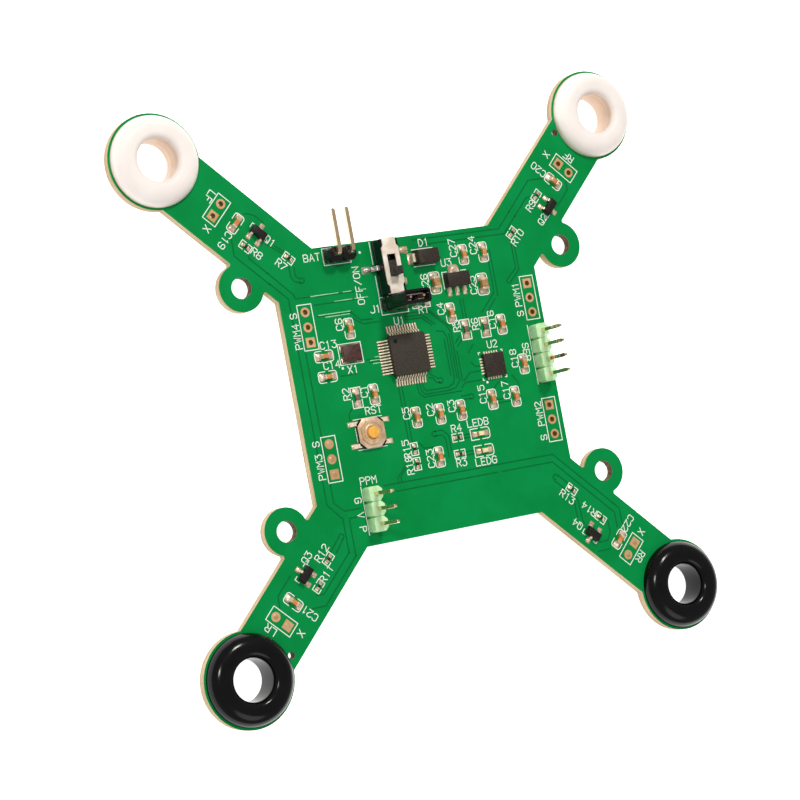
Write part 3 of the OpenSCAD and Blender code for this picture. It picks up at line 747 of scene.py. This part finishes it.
def crystal():
    place, w, l, _ = footprint("crystal_base")
    base = box(w, l, 0.04, 0.5, 0.05)
    piece("crystal_package", [(base, place)], BASE_CERAMIC, replaces=["crystal_base"])
    lid = rounded(prism(rectangle(w - 0.16, l - 0.16, 0.25, 4), 0.48, 0.74), 0.05)
    piece("crystal_cover", [(lid, place)], LID, replaces=["crystal_lid"])
    for sx, sy in QUARTERS:
        pad(place @ shift(sx * 1.25, sy * 0.98), 1.35, 1.15)
        joint(mound(1.2, 1.0, 0.14), place @ shift(sx * 1.3, sy * 1.02, 0.03))


def regulator():
    place, w, l, top = footprint("regulator_body")
    body = moulded(w, l, 0.02, top, 0.6, 0.08)
    piece("regulator_case", [(body, place)], DARK_CHIP, replaces=["regulator_body"])
    for x in (-1.5, 0, 1.5):
        pad(place @ shift(x, -1.95), 0.75, 1.5, 0.05)
        joint(fillet(0.62, 0.62, 0.3), place @ shift(x, -2.0, 0.03) @ spin(-90))
    tab = place @ shift(0, 1.75)
    pad(tab, 2.1, 1.9, 0.7, 5)
    joint(mound(1.75, 1.5, 0.42, 4, 2.4), tab @ shift(0, 0, 0.03))


def diode():
    place, w, l, top = footprint("diode_body")
    body = moulded(w, l, 0.1, top, 1.0, 0.12)
    piece("diode_case", [(body, place)], DARK_CHIP, replaces=["diode_body"])
    band = box(0.55, l - 0.3, 0, 0.012)
    piece("diode_band", [(band, place @ shift(-1.55, 0, top))], CHIP)
    for side in sides(place, 2):
        pad(side @ shift(2.35), 1.5, 1.9)
        joint(fillet(1.6, 0.5, 0.55), side @ shift(2.58, 0, 0.03))


def transistors():
    nodes = {kind: ["transistor_%s_%s" % (arm, kind) for arm in ARMS] for kind in ("body", "leads")}
    bodies, leads = [], []
    for node, angle in zip(nodes["body"], ARMS.values()):
        mid = centre(node)
        place = at(mid.x, mid.y, 0, angle)
        bodies.append((moulded(2.9, 1.35, 0.1, 1.1, 0.55, 0.1), place))
        for u, way in ((0.95, 90), (-0.95, 90), (0, -90)):
            leg = place @ shift(u) @ spin(way)
            leads.append((gull(0.65, 1.3, 0.55, 0.42, 0.13, 0.32), leg))
            pad(leg @ shift(1.35), 1.05, 0.85, 0.05)
            joint(fillet(0.7, 0.5, 0.22), leg @ shift(1.22, 0, 0.03))
    piece("transistor_case", bodies, BLACK_CHIP, replaces=nodes["body"])
    piece("transistor_lead", leads, TIN, replaces=nodes["leads"])


for build in (processor, motion_sensor, crystal, regulator, diode, transistors):
    build()


# ------------------------------ headers

PIN_TIP = 0.35


def header_section(pitch=2.52, w=2.5, chamfer=0.6, notch=(0.24, 0.5)):
    a, b, c = pitch / 2, w / 2, chamfer
    return [(a, b - notch[1]), (a - notch[0], b), (notch[0] - a, b), (-a, b - notch[1]),
            (-a, c - b), (c - a, -b), (a - c, -b), (a, c - b)]


def straight_pin(p, tail, top):
    return rod([(p.x, p.y, z) for z in (tail.z, tail.z + PIN_TIP, top.z - PIN_TIP, top.z)], 0.64)


def bent_pin(p, tail, top):
    """A pin that comes up through the board and turns to run along it, to top's Y."""
    y, knee = centre("battery_header_housing").y, TOP + 3.25
    path = [(p.x, y, tail.z), (p.x, y, tail.z + PIN_TIP), (p.x, y, knee)]
    for i in range(1, 6):
        a = math.radians(88 * i / 6)
        path.append((p.x, y + 0.9 * (1 - math.cos(a)), knee + 0.75 * math.sin(a)))
    end = Vector((p.x, top.y, top.z - 0.34))
    neck = end + (Vector(path[-1]) - end).normalized() * PIN_TIP
    return rod(path + [tuple(neck), tuple(end)], 0.68)


def header(kind, mat, angle=0, pin=straight_pin):
    """A pin header: one chamfered plastic block to each pin, and the pins with pointed ends."""
    pins = islands(kind + "_header_pins")
    height = footprint(kind + "_header_housing")[3]
    block = rounded(prism(header_section(), 0.02, height), 0.1, 2)
    y = centre(kind + "_header_housing").y
    piece(kind + "_housing", [(block, at(p.x, p.y if angle else y, 0, angle)) for p in pins],
          mat, replaces=[kind + "_header_housing"])
    tail, top = corners(kind + "_header_pins")
    piece(kind + "_pin", [(pin(p, tail, top), Matrix()) for p in pins], PIN,
          replaces=[kind + "_header_pins"])


header("battery", BLACK, pin=bent_pin)
header("jumper", BLACK)
header("serial", GREEN, 90)
header("receiver", GREEN, 90)


def header_solder():
    """Hollow-sided cones of solder round the pin tails, under the board."""
    cone = lathe([(0.36, -1.0), (0.42, -0.8), (0.5, -0.5), (0.66, -0.2), (0.88, -0.03), (0.9, 0)], 28)
    ring = lathe([(0, -0.04), (1.0, -0.04), (1.0, 0)], 28)
    places = [shift(p.x, p.y, UNDER) for p in islands("header_solder")]
    piece("header_joint", [(cone, p) for p in places], SOLDER, replaces=["header_solder"])
    piece("header_pad", [(ring, p) for p in places], PLATED)


def hole_solder():
    """Solder standing a little proud in the closed holes, on both faces."""
    dome = mound(0.98, 0.98, 0.09, 2.6, 2)
    parts = []
    for p in islands("pad_solder"):
        parts.append((dome, at(p.x, p.y, 0.03)))
        parts.append((dome, shift(p.x, p.y, UNDER - 0.03) @ spin(180, "X")))
    piece("hole_solder", parts, FILLED, replaces=["pad_solder"])


header_solder()
hole_solder()


# ------------------------------ power switch

def power_switch():
    place, w, l, _ = footprint("switch_base")
    z = footprint("switch_cover")[3]
    flap = box(2.45, 0.18, z - 1.3, z - 0.02, 0.05)
    flaps = [(flap, place @ shift(0, s * (l / 2 + 0.07))) for s in (-1, 1)]
    piece("switch_cover_flap", flaps, SWITCH_METAL)
    legs, lumps = [], []
    half = w / 2
    for angle, y, reach, solder in ((180, 0, 2.35, lumps), (0, 2.6, 2.9, JOINTS), (0, -2.6, 1.7, JOINTS)):
        toe = half + reach
        path = bend([(half - 0.1, 1.2), (half + 0.35, 1.2), (half + 0.75, 0.16), (toe, 0.16)], 0.25, 4)
        side = place @ shift(0, y) @ spin(angle)
        legs.append((bent_strip(path, 0.85, 0.22, 0.04), side))
        pad(side @ shift(toe - 0.5), 1.7, 1.2, 0.3, 3, 0.03)
        solder.append((mound(2.3, 1.15, 0.55, 2.6, 2.6), side @ shift(toe - 0.75, 0, 0.02)))
    piece("switch_terminal", legs, BLOB, replaces=["switch_terminals"])
    piece("switch_terminal_solder", lumps, BLOB, sharp=50)
    place, _, _, top = footprint("switch_knob")
    slide = box(2.0, 4.0, z - 1.25, z - 0.36, 0.05)
    stud = rounded(prism(rectangle(1.5, 1.5), z - 0.6, top, 0.9), 0.1, 3)
    piece("switch_slider", [(slide, place), (stud, place)], KNOB, "power_knob",
          ["switch_knob"])


# ------------------------------ reset button

def pressed_cover(z0, z1, n=64):
    """The button's pressed metal cover, from eight-sided at its rim to round at its hole."""
    # Each ring's radius, its height and how eight-sided it is
    rings = [(2.04, z0 + 0.1, 1), (1.92, z1 - 0.05, 1), (1.86, z1, 1), (1.72, z1, 1), (1.62, z1 - 0.2, 1),
             (1.5, z1 - 0.22, 1), (1.42, z1 - 0.03, 0.5), (1.36, z1, 0.3), (1.12, z1, 0),
             (1.06, z1 - 0.05, 0), (1.06, z0 + 0.1, 0)]
    points = []
    for k in range(n):
        a = 360 * k / n
        edge = 1 / math.cos(math.radians((a + 22.5) % 45 - 22.5)) - 1
        for r, z, eight_sided in rings:
            r *= 1 + edge * eight_sided
            points.append((r * math.cos(math.radians(a)), r * math.sin(math.radians(a)), z))
    return points, skin(n, len(rings), ring=False, closed=True)


def reset_button():
    place, w, _, z1 = footprint("reset_cover")
    z0 = corners("reset_cover")[0].z - TOP
    plate = rounded(prism(rectangle(w, w, 1.15), z0, z0 + 0.13), 0.04)
    piece("reset_cover_plate", [(plate, place), (pressed_cover(z0, z1), place)], BUTTON_METAL,
          replaces=["reset_cover"], sharp=28)
    low, high = corners("reset_plunger")
    r, rim, top = 1.0, (high.x - low.x) / 2, high.z - TOP
    cap = [(0, top), (0.5, top - 0.01), (r - 0.2, top - 0.03)] + arc(r - 0.18, top - 0.21, 0.18, 80, 0, 6)
    # The underside is hollowed to clear the snap dome when the button is down
    foot = low.z - TOP
    dome_low, dome_high = corners("reset_dome")
    hollow = foot + dome_high.z - dome_low.z - 0.04
    cap += [(r, foot + 0.2), (rim, foot + 0.2), (rim, foot), (rim - 0.01, foot), (0.74, hollow),
            (0, hollow)]
    piece("reset_cap", [(lathe(cap, 56), place)], AMBER, "reset_button",
          ["reset_plunger"], 40)
    path = bend([(2.1, 0.45), (2.62, 0.45), (2.8, 0.14), (3.62, 0.14)], 0.12, 3)
    leg = bent_strip(path, 0.72, 0.18, 0.03)
    legs = []
    for half in sides(place, 2):
        for y in (-1.85, 1.85):
            side = half @ shift(0, y)
            legs.append((leg, side))
            pad(side @ shift(3.35), 1.2, 0.88)
            joint(fillet(0.66, 0.3, 0.2), side @ shift(3.5, 0, 0.03))
    piece("reset_lead", legs, TIN, replaces=["reset_leads"])


power_switch()
reset_button()

piece("chip_pad", PADS, COPPER)
piece("chip_solder", JOINTS, SOLDER, sharp=50)


# ------------------------------ silkscreen
# A plain stroke font on a grid 4 wide and 6 high: each stroke is a run of two-digit points.
GLYPHS = {
    "A": "002640 1232", "B": "00063645443303 3342413000", "C": "4536160501103041", "D": "00062644422000",
    "E": "46060040 0333", "F": "460600 0333", "G": "45361605011030414323", "J": "4641301001", "L": "060040",
    "M": "0006234640", "N": "00064046", "O": "103041453616050110", "P": "00063645443303",
    "Q": "103041453616050110 2240", "R": "00063645443303 2340", "S": "453616050413334241301001",
    "T": "0646 2620", "U": "060110304146", "V": "062046", "W": "0610243046", "X": "0046 0640", "/": "0046",
    "0": "103041453616050110", "1": "152620", "2": "05163645440040", "3": "064624344341301001",
    "4": "30360242", "5": "460604344341301001", "6": "4536160501103041423303", "7": "064610",
    "8": "13040516364544331302011030414233", "9": "0110304145361605041343",
}
# The printed lines' width, thickness and height over the board
INK = 0.155
LIFT = 0.02
INK_FOOT = 0.006


def lettering(text, x, y, angle, size=1.2):
    """A word's strokes, centred on a point of the board."""
    unit, step = size / 6, size * 0.92
    start = -(step * (len(text) - 1) + unit * 4) / 2
    lines = []
    for i, letter in enumerate(text):
        for stroke in GLYPHS[letter].split():
            points = [(start + i * step + int(a) * unit, int(b) * unit - size / 2)
                      for a, b in zip(stroke[::2], stroke[1::2])]
            lines.append(on_board(at(x, y, 0, angle), points))
    return lines


def framed(place, w, l, gap=0.0, corner=0.0):
    """A box round a part, w along its X; gap opens the middle of both long sides."""
    outline = rectangle(w, l, corner, 3)
    if not gap:
        return [on_board(place, outline + outline[:1])]
    half = [(gap / 2, -l / 2)] + [p for p in outline if p[0] > 0] + [(gap / 2, l / 2)]
    return [on_board(place, [(s * x, y) for x, y in half]) for s in (1, -1)]


LABELS = [
    ("BAT", -17.55, 23.65, 0), ("OFF/ON", -9.85, 17.95, 90), ("J1", -7.5, 13.65, 0),
    ("D1", 4, 23.75, 0), ("U3", 7.65, 19.8, 0), ("C27", 9.45, 22.15, 90), ("C24", 13.45, 22.15, 90),
    ("C26", 2.85, 16.8, 90), ("C25", 12.05, 15.3, 90), ("R1", 1.65, 12.45, 0), ("U1", -3.4, 11.15, 0),
    ("C4", 4.9, 12.1, 90), ("R5", 7.3, 8.8, 90), ("R6", 11.05, 8.65, 90), ("C16", 14.45, 8.95, 90),
    ("U2", 13.65, 4.8, 0), ("C18", 17.45, 1.75, 90), ("SER", 20.2, 2.5, -90), ("C15", 9.85, -3.45, 90),
    ("C17", 14.65, -3.4, 90), ("PWM1", 20.45, 12.6, 90), ("S", 20.45, 9.25, 90),
    ("PWM2", 20.45, -8.45, 90), ("S", 20.45, -12.6, 90), ("PWM4", -22.85, 10.95, 90),
    ("S", -22.85, 14.4, 90), ("PWM3", -23.05, -10.9, 90), ("S", -23.1, -7.05, 90),
    ("C13", -17.5, 8.9, 0), ("C14", -17.5, 5.5, 0), ("X1", -13.75, 4.25, 0), ("C6", -14.8, 11.95, 90),
    ("R2", -15.85, 0.3, 90), ("C1", -12.55, 0.3, 90), ("RST", -11.4, -3, 0), ("C5", -5.4, -4.5, 90),
    ("C2", -0.75, -4.6, 90), ("C3", 3.45, -4.55, 90), ("R4", 3.6, -8.4, 0), ("R3", 3.4, -14.3, 0),
    ("LEDB", 7.95, -8.05, 0), ("LEDG", 8.2, -14.8, 0), ("R15", -6.6, -10.45, 90),
    ("R16", -6.6, -13.2, 90), ("C23", -2.4, -12.7, 90), ("PPM", -14.8, -14.4, 0),
    ("G", -17.35, -17.4, -90), ("V", -17.35, -19.85, -90), ("P", -17.35, -22.2, -90),
]
ARM_LABELS = {
    "front_left": [("R7", 32.85, 0.1, -45), ("R8", 37.35, 1.3, -45), ("Q1", 36.65, -1.9, -45),
                   ("C19", 43.05, 3, 225), ("LF", 49.2, -1.4, 225), ("X", 46.6, 3.4, 45)],
    "front_right": [("R10", 31.95, -0.2, 45), ("R9", 38.4, 0.7, 45), ("Q2", 37.85, -2.5, 45),
                    ("C20", 44.85, 2.95, 135), ("RF", 50.65, -0.65, 135), ("X", 48.15, 3.17, 45)],
    "rear_left": [("R12", 35.65, -0.7, 45), ("R11", 38, 1.9, 45), ("Q3", 37.85, -2.5, 45),
                  ("C21", 45.1, 2.95, 135), ("LR", 51.25, -1.4, 135), ("X", 48.7, 3.4, 45)],
    "rear_right": [("R13", 32.75, -0.45, -45), ("R14", 37.5, 0.35, 135), ("Q4", 37, -3.25, 135),
                   ("C22", 45.35, 2.85, 225), ("RR", 50.6, -0.6, 225), ("X", 48.46, 3.2, 45)],
}
PLAIN_LINES = [
    [(-16.4, -15.3), (-16.4, -23.35)], [(21.35, 7.05), (21.35, -3.35)], [(-6.35, 15.6), (-6.35, 19.15)],
    [(-6.35, 21.15), (-6.35, 24.9)], [(1.4, 22.7), (5.5, 22.7)], [(1.4, 19.8), (5.5, 19.8)],
    [(6.45, 15.3), (6.45, 18.2), (7.4, 18.2)], [(10.2, 18.15), (11.2, 18.15)],
    [(-15.5, -4.15), (-10.1, -4.15)], [(-15.5, -9.24), (-10.1, -9.24)],
    [(-15.35, -5.5), (-15.35, -7.95)], [(-10.25, -5.5), (-10.25, -7.95)],
    [(-6.4, 15.4), (-6.4, 12.45), (-1.25, 12.45), (-1.25, 15.4), (-6.4, 15.4)],
    [(-15.45, 24.85), (-15.45, 22.05), (-10.37, 22.05), (-10.37, 24.85), (-15.45, 24.85)],
    [(-15.85, 8.65), (-11.5, 8.65), (-11.5, 5.15), (-15.85, 5.15), (-15.85, 8.65)],
]
SILK_DOTS = [(-8.45, 23.45), (-15.6, 4.65), (11.34, -1.56)]


def hole_groups():
    """The servo rows' and motor pads' middles, from the plated holes."""
    holes = islands("plated_holes")
    rows = []
    for h in holes:
        # Only the middle hole of a row has both of its neighbours this near
        near = [g for g in holes if (g - h).length < 2.8]
        if len(near) == 3:
            rows.append(sum(near, Vector((0, 0, 0))) / 3)
    pads = {}
    for arm, angle in ARMS.items():
        # The motor's pair lies far out, near the arm's own middle line
        pair = [q for q in (spin(-angle) @ h for h in holes) if q.x > 44 and abs(q.y) < 5]
        pads[arm] = sum(pair, Vector((0, 0, 0))) / len(pair)
    return rows, pads


def led_marks():
    """Each LED's outline: square at one end and rounded at the other."""
    square = [(-0.35, 0.95), (-1.85, 0.95), (-1.85, -0.95), (-0.35, -0.95)]
    upper = [(0.35, 0.95), (1.5, 0.95), (1.82, 0.78), (1.92, 0.45)]
    lower = [(x, -y) for x, y in reversed(upper)]
    return [on_board(p @ shift(-0.05), side) for p in LED_PLACES for side in (square, upper + lower)]


def silkscreen():
    servo_rows, motor_pads = hole_groups()
    lines = []
    for text, x, y, angle in LABELS:
        lines += lettering(text, x, y, angle)
    for arm, words in ARM_LABELS.items():
        for text, u, v, angle in words:
            p = on_arm(arm, u, v).translation
            lines += lettering(text, p.x, p.y, angle)
    for places, *outline in ((CAPS, 3.45, 1.85, 0.8, 0.45), (BIG_CAPS, 3.75, 2.2, 0.8, 0.5),
                             (RESISTORS, 3.45, 1.85, 0.8), (SMALL_RESISTORS, 2.1, 1.35, 0.5)):
        for p in places:
            lines += framed(p, *outline)
    lines += led_marks()
    for row in servo_rows:
        lines += framed(at(row.x, row.y), 2.65, 7.65)
    for arm, p in motor_pads.items():
        lines += framed(on_arm(arm, p.x, p.y), 2.65, 5.1)
    for side in sides(footprint("motion_sensor_body")[0], 4):
        lines.append(on_board(side, [(2.1, 2.4), (2.4, 2.4), (2.4, 2.1)]))
    for arm, angle in ARMS.items():
        mid = centre("transistor_%s_body" % arm)
        for s in (-1, 1):
            bracket = [(s * 1.0, -0.95), (s * 1.65, -0.95), (s * 1.65, -0.1)]
            lines.append(on_board(at(mid.x, mid.y, 0, angle), bracket))
    lines += PLAIN_LINES
    parts = [(ribbon(line, INK, LIFT), at(0, 0, INK_FOOT)) for line in lines]
    dot = lathe([(0, LIFT), (0.16, LIFT), (0.22, 0)], 16)
    parts += [(dot, at(x, y, INK_FOOT)) for x, y in SILK_DOTS]
    piece("silkscreen", parts, SILK, flat=True)


silkscreen()


# ------------------------------ copper tracks
# The gaps that separate the tracks from the copper all round them.

GAPS = [
    [(-26, 20.2), (-23.15, 17.3), (-23.15, -17.2), (-20.75, -19.9), (-20.75, -25.5)],
    [(-21.85, 13.5), (-21.85, -17.1), (-20.1, -18.7), (-17.2, -18.7)],
    [(-26, 22), (-22.05, 17.9), (-21.9, 17.2), (-19.2, 17.2)], [(-25.3, 26.8), (-22.6, 24.9)],
    [(-23.9, 26.4), (-22.3, 25.2)], [(-25.2, 30.5), (-26.4, 31.7), (-27.2, 32.1), (-28.3, 32.3)],
    [(-17, -20), (-19.4, -20), (-19.6, -20.4), (-19.6, -26.2)],
    [(-12, -15.75), (21.5, -15.75), (32.9, -27.1), (33, -30)],
    [(-10, -17.05), (21.2, -17.05), (31.8, -27.7), (31.8, -30.3)],
    [(24.7, -24), (24.9, -24.7), (25, -27.7), (25.2, -28.5)], [(24.1, -24.6), (24.1, -27.2)],
    [(30.1, -29), (30.2, -30.8), (29.4, -32.2), (27.7, -32.3)], [(27.1, -33.8), (29.5, -33.8)],
    [(2, 24.4), (19.3, 24.4), (22, 27.1)], [(3, 23.4), (20.2, 23.4), (23, 26.2)],
    [(16.65, 20.9), (16.65, 13.1), (13.7, 10.2)], [(16, 18.9), (16, 13.6), (12.9, 10.5)],
    [(21.2, 22.7), (21.2, 17.2), (19.5, 15.8)], [(21.8, 21.9), (21.8, 16.9), (20, 15.2)],
    [(-22, 22.6), (-22, 20.9), (-21.5, 20.1), (-20.4, 19.7)],
    [(-21.1, 22.4), (-21.1, 21), (-20.3, 20.3)], [(-24, -24.8), (-22.2, -22.8)],
    [(-23, -25.1), (-21.5, -23.3)], [(20.9, -20.3), (22.8, -22.2)], [(21.8, -19.5), (23.7, -21.4)],
    [(-5.9, 0.2), (-5.9, -9.4)], [(-5.25, 0.2), (-5.25, -9.4)],
    [(-9.2, -15.6), (-9.2, -14.9), (-7.3, -13)], [(-8.6, -15.6), (-8.6, -14.8), (-7, -13.2)],
    [(-4, -9.8), (-3.2, -10.8), (-1.4, -10.9)], [(-0.6, -8.3), (0.8, -8.3), (1.9, -9.4), (1.9, -12)],
    [(-0.6, -9.1), (0.6, -9.1), (1.2, -9.8), (1.2, -13)],
    [(-2.35, 0.1), (-2.2, -1.5), (-1.4, -2.3), (6, -2.3)],
    [(-1.8, 0.1), (-1.6, -1.2), (-1.1, -1.85), (3.6, -1.85), (5, -1.6), (6, -0.5), (6.1, 8), (5.4, 9.1),
     (2.4, 12)],
    [(-1.25, 0.1), (-1.15, -0.8), (-0.7, -1.3), (3.6, -1.3), (4.7, -0.8), (5.1, 0.2), (5.1, 7.2),
     (4.6, 8.2), (3.3, 8.5)], [(4.5, 0.6), (4.5, 6.8)], [(5.6, 0), (5.6, 7.6)],
    [(6.55, -0.6), (6.55, 4.4)], [(-2.3, 12.15), (2.6, 12.15), (5.3, 9.7), (6.6, 8.4)],
    [(-2.2, 11.6), (1, 11.6), (3.2, 9.7)], [(-2.2, 11.1), (0.9, 11.1), (2.6, 9.6)],
    [(0.3, 0.8), (0.9, 0.7), (1.5, -0.2), (2.2, -0.35)], [(0.5, 1.4), (1.3, 0.9), (2, 0.4)],
    [(6.6, 6), (7.6, 7)], [(6.9, 5.4), (8.3, 6.6)], [(8.7, 4), (9.9, 5.2)],
    [(8.9, 2.2), (9.6, 1.4), (10.5, 1.4)], [(6.9, -0.6), (8.3, 0.55), (10.5, 0.55)],
    [(6.2, -1.7), (7, -1), (10.4, -1)], [(5.8, -3.2), (7.2, -3.2)], [(5.8, -3.8), (7.4, -3.8)],
    [(12.5, -2.7), (13.4, -1.9), (15, -1.9)], [(12.7, -4.8), (15.2, -4.8)],
    [(12.7, -5.4), (15.2, -5.4)], [(16.4, -1), (17.4, -2.4), (17.4, -4)], [(9, 13.1), (9, 9.8)],
    [(9.6, 13.1), (9.6, 9.8)], [(-11.9, 12.6), (-10.3, 11.5), (-7.2, 11.5)],
    [(-12.2, 13.8), (-10.6, 12.2), (-8.4, 12.1)], [(4.5, -9.75), (6.1, -9.75)],
    [(4.5, -10.3), (6.1, -10.3)], [(4.4, -12.65), (6.1, -12.65)], [(4.4, -13.2), (6.1, -13.2)],
    [(-15.3, -2.2), (-16, -3), (-16.1, -4.1)], [(-18.2, 17.1), (-9, 17.1)],
    [(-18.6, 15.75), (-9, 15.75)], [(-18.4, 13.75), (-12.2, 13.75)], [(-10.8, 5.4), (-8.2, 5.4)],
    [(-10.4, 4.9), (-8.2, 4.9)], [(-16.2, 3.4), (-13.4, 3.4)],
]
# Painted glints: pale lines along the tracks' edges that stand in for light catching them
GLINTS = [
    [(-19, 17.25), (-13.9, 17.25)], [(-12.9, 17.25), (-11.4, 17.25)], [(-9.6, 17.25), (-8.6, 17.25)],
    [(-14.8, 15.9), (-11.5, 15.9)], [(-10.9, 15.9), (-8.5, 15.9)], [(-18.2, 13.95), (-12.3, 13.95)],
    [(-17, 13.5), (-12.5, 13.5)], [(-9.2, 5.7), (-8.3, 5.7)], [(-10.2, 5.2), (-8.3, 5.2)],
    [(-9.8, 4.65), (-8.3, 4.65)],
]
ARM_GAPS = {
    "front_left": [[(32.7, 4.15), (40.3, 4.15), (42.2, 2.2)], [(34, 2.85), (38, 2.85), (39, 1.9)]],
    "front_right": [[(34.8, 3.6), (41.9, 3.6), (44, 1.5)], [(34.8, 2.25), (39, 2.25), (40, 1.3)],
                    [(42, -3.6), (45.6, -3.6), (47, -2.2)]],
    "rear_left": [[(32.4, 4.7), (42.4, 4.7), (44.4, 2.7)], [(32.7, 3.35), (41, 3.35), (42, 2.3)],
                  [(42, -3.3), (46, -3.3), (47.6, -1.8)]],
}
# Round ends of short tracks, with the direction each track leaves in
ROUND_ENDS = [
    (19.4, 15.2, 48), (-20.1, 20.1, 150), (-21.6, -22.7, 230), (21.2, -19.7, -45), (-0.8, -8.7, 0),
    (2.35, 0.05, 150), (7.7, -3.5, 180),
]
VIAS = [
    (-12.55, 14.95), (-15.95, 11.9), (10.45, -17.15), (-11.6, -20.9), (-9.7, -21.4), (-14, -3.1),
    (16.15, 12.7), (-13.8, 3.6), (2.6, 4.7), (2.4, 3.5),
]


def copper_gaps():
    lines = list(GAPS)
    for arm, routes in ARM_GAPS.items():
        lines += [on_board(on_arm(arm, 0, 0), route) for route in routes]
    for x, y, leaves in ROUND_ENDS:
        turns = [math.radians(leaves + 50 + 26 * i) for i in range(11)]
        lines.append([(x + 0.45 * math.cos(a), y + 0.45 * math.sin(a)) for a in turns])
    for name, routes, w, t, mat in (("track_gap", lines, 0.26, 0.01, TRACK),
                                    ("painted_glint_line", GLINTS, 0.15, 0.014, GLINT)):
        piece(name, [(ribbon(route, w, t), at(0, 0)) for route in routes], mat, flat=True)
    dome = lathe([(0, 0.03), (0.12, 0.026), (0.26, 0.012), (0.36, 0)], 18)
    piece("via", [(dome, at(x, y)) for x, y in VIAS], MASK)


copper_gaps()


# ------------------------------ floor and light

FLOOR_HALF = 3.0
FLOOR_GAP = 0.0002


def make_floor():
    mesh = bpy.data.meshes.new("floor")
    z = CAD_BOX[0][2] - FLOOR_GAP
    mesh.from_pydata([(sx * FLOOR_HALF, sy * FLOOR_HALF, z) for sx, sy in QUARTERS], [], [(0, 1, 2, 3)])
    floor = add_object("floor", mesh)
    n = Nodes("floor_paper")
    n.link(n.ramp(n.noise(3, 2), (246, 246, 246), (250, 250, 250)), n.shader.inputs["Base Color"])
    n.set(n.shader, Roughness=0.9, Specular_IOR_Level=0.1, Emission_Color=(1, 1, 1, 1),
          Emission_Strength=1.0)
    mesh.materials.append(n.mat)


def area_light(name, place, target, size, power, tint=(1, 1, 1)):
    light = bpy.data.lights.new(name, "AREA")
    light.shape = "DISK"
    light.size = size
    light.energy = power
    light.color = tint
    obj = add_object(name, light)
    obj.location = place
    obj.rotation_euler = (Vector(target) - Vector(place)).to_track_quat("-Z", "Y").to_euler()


def make_light():
    bpy.context.scene.view_settings.view_transform = "Standard"
    world = bpy.data.worlds.new("studio")
    bpy.context.scene.world = world
    world.use_nodes = True
    background = world.node_tree.nodes["Background"]
    background.inputs["Color"].default_value = (1, 1, 1, 1)
    background.inputs["Strength"].default_value = 0.38
    middle = (0, 0, 0.005)
    area_light("key", (0.1, 0.6, 0.8), middle, 0.18, 4.8, (1, 0.98, 0.94))
    area_light("side", (-0.5, 0.25, 0.8), middle, 0.16, 2.4, (1, 0.99, 0.96))
    area_light("fill", (0.1, -0.7, 0.7), middle, 0.6, 1.6)


make_floor()
make_light()
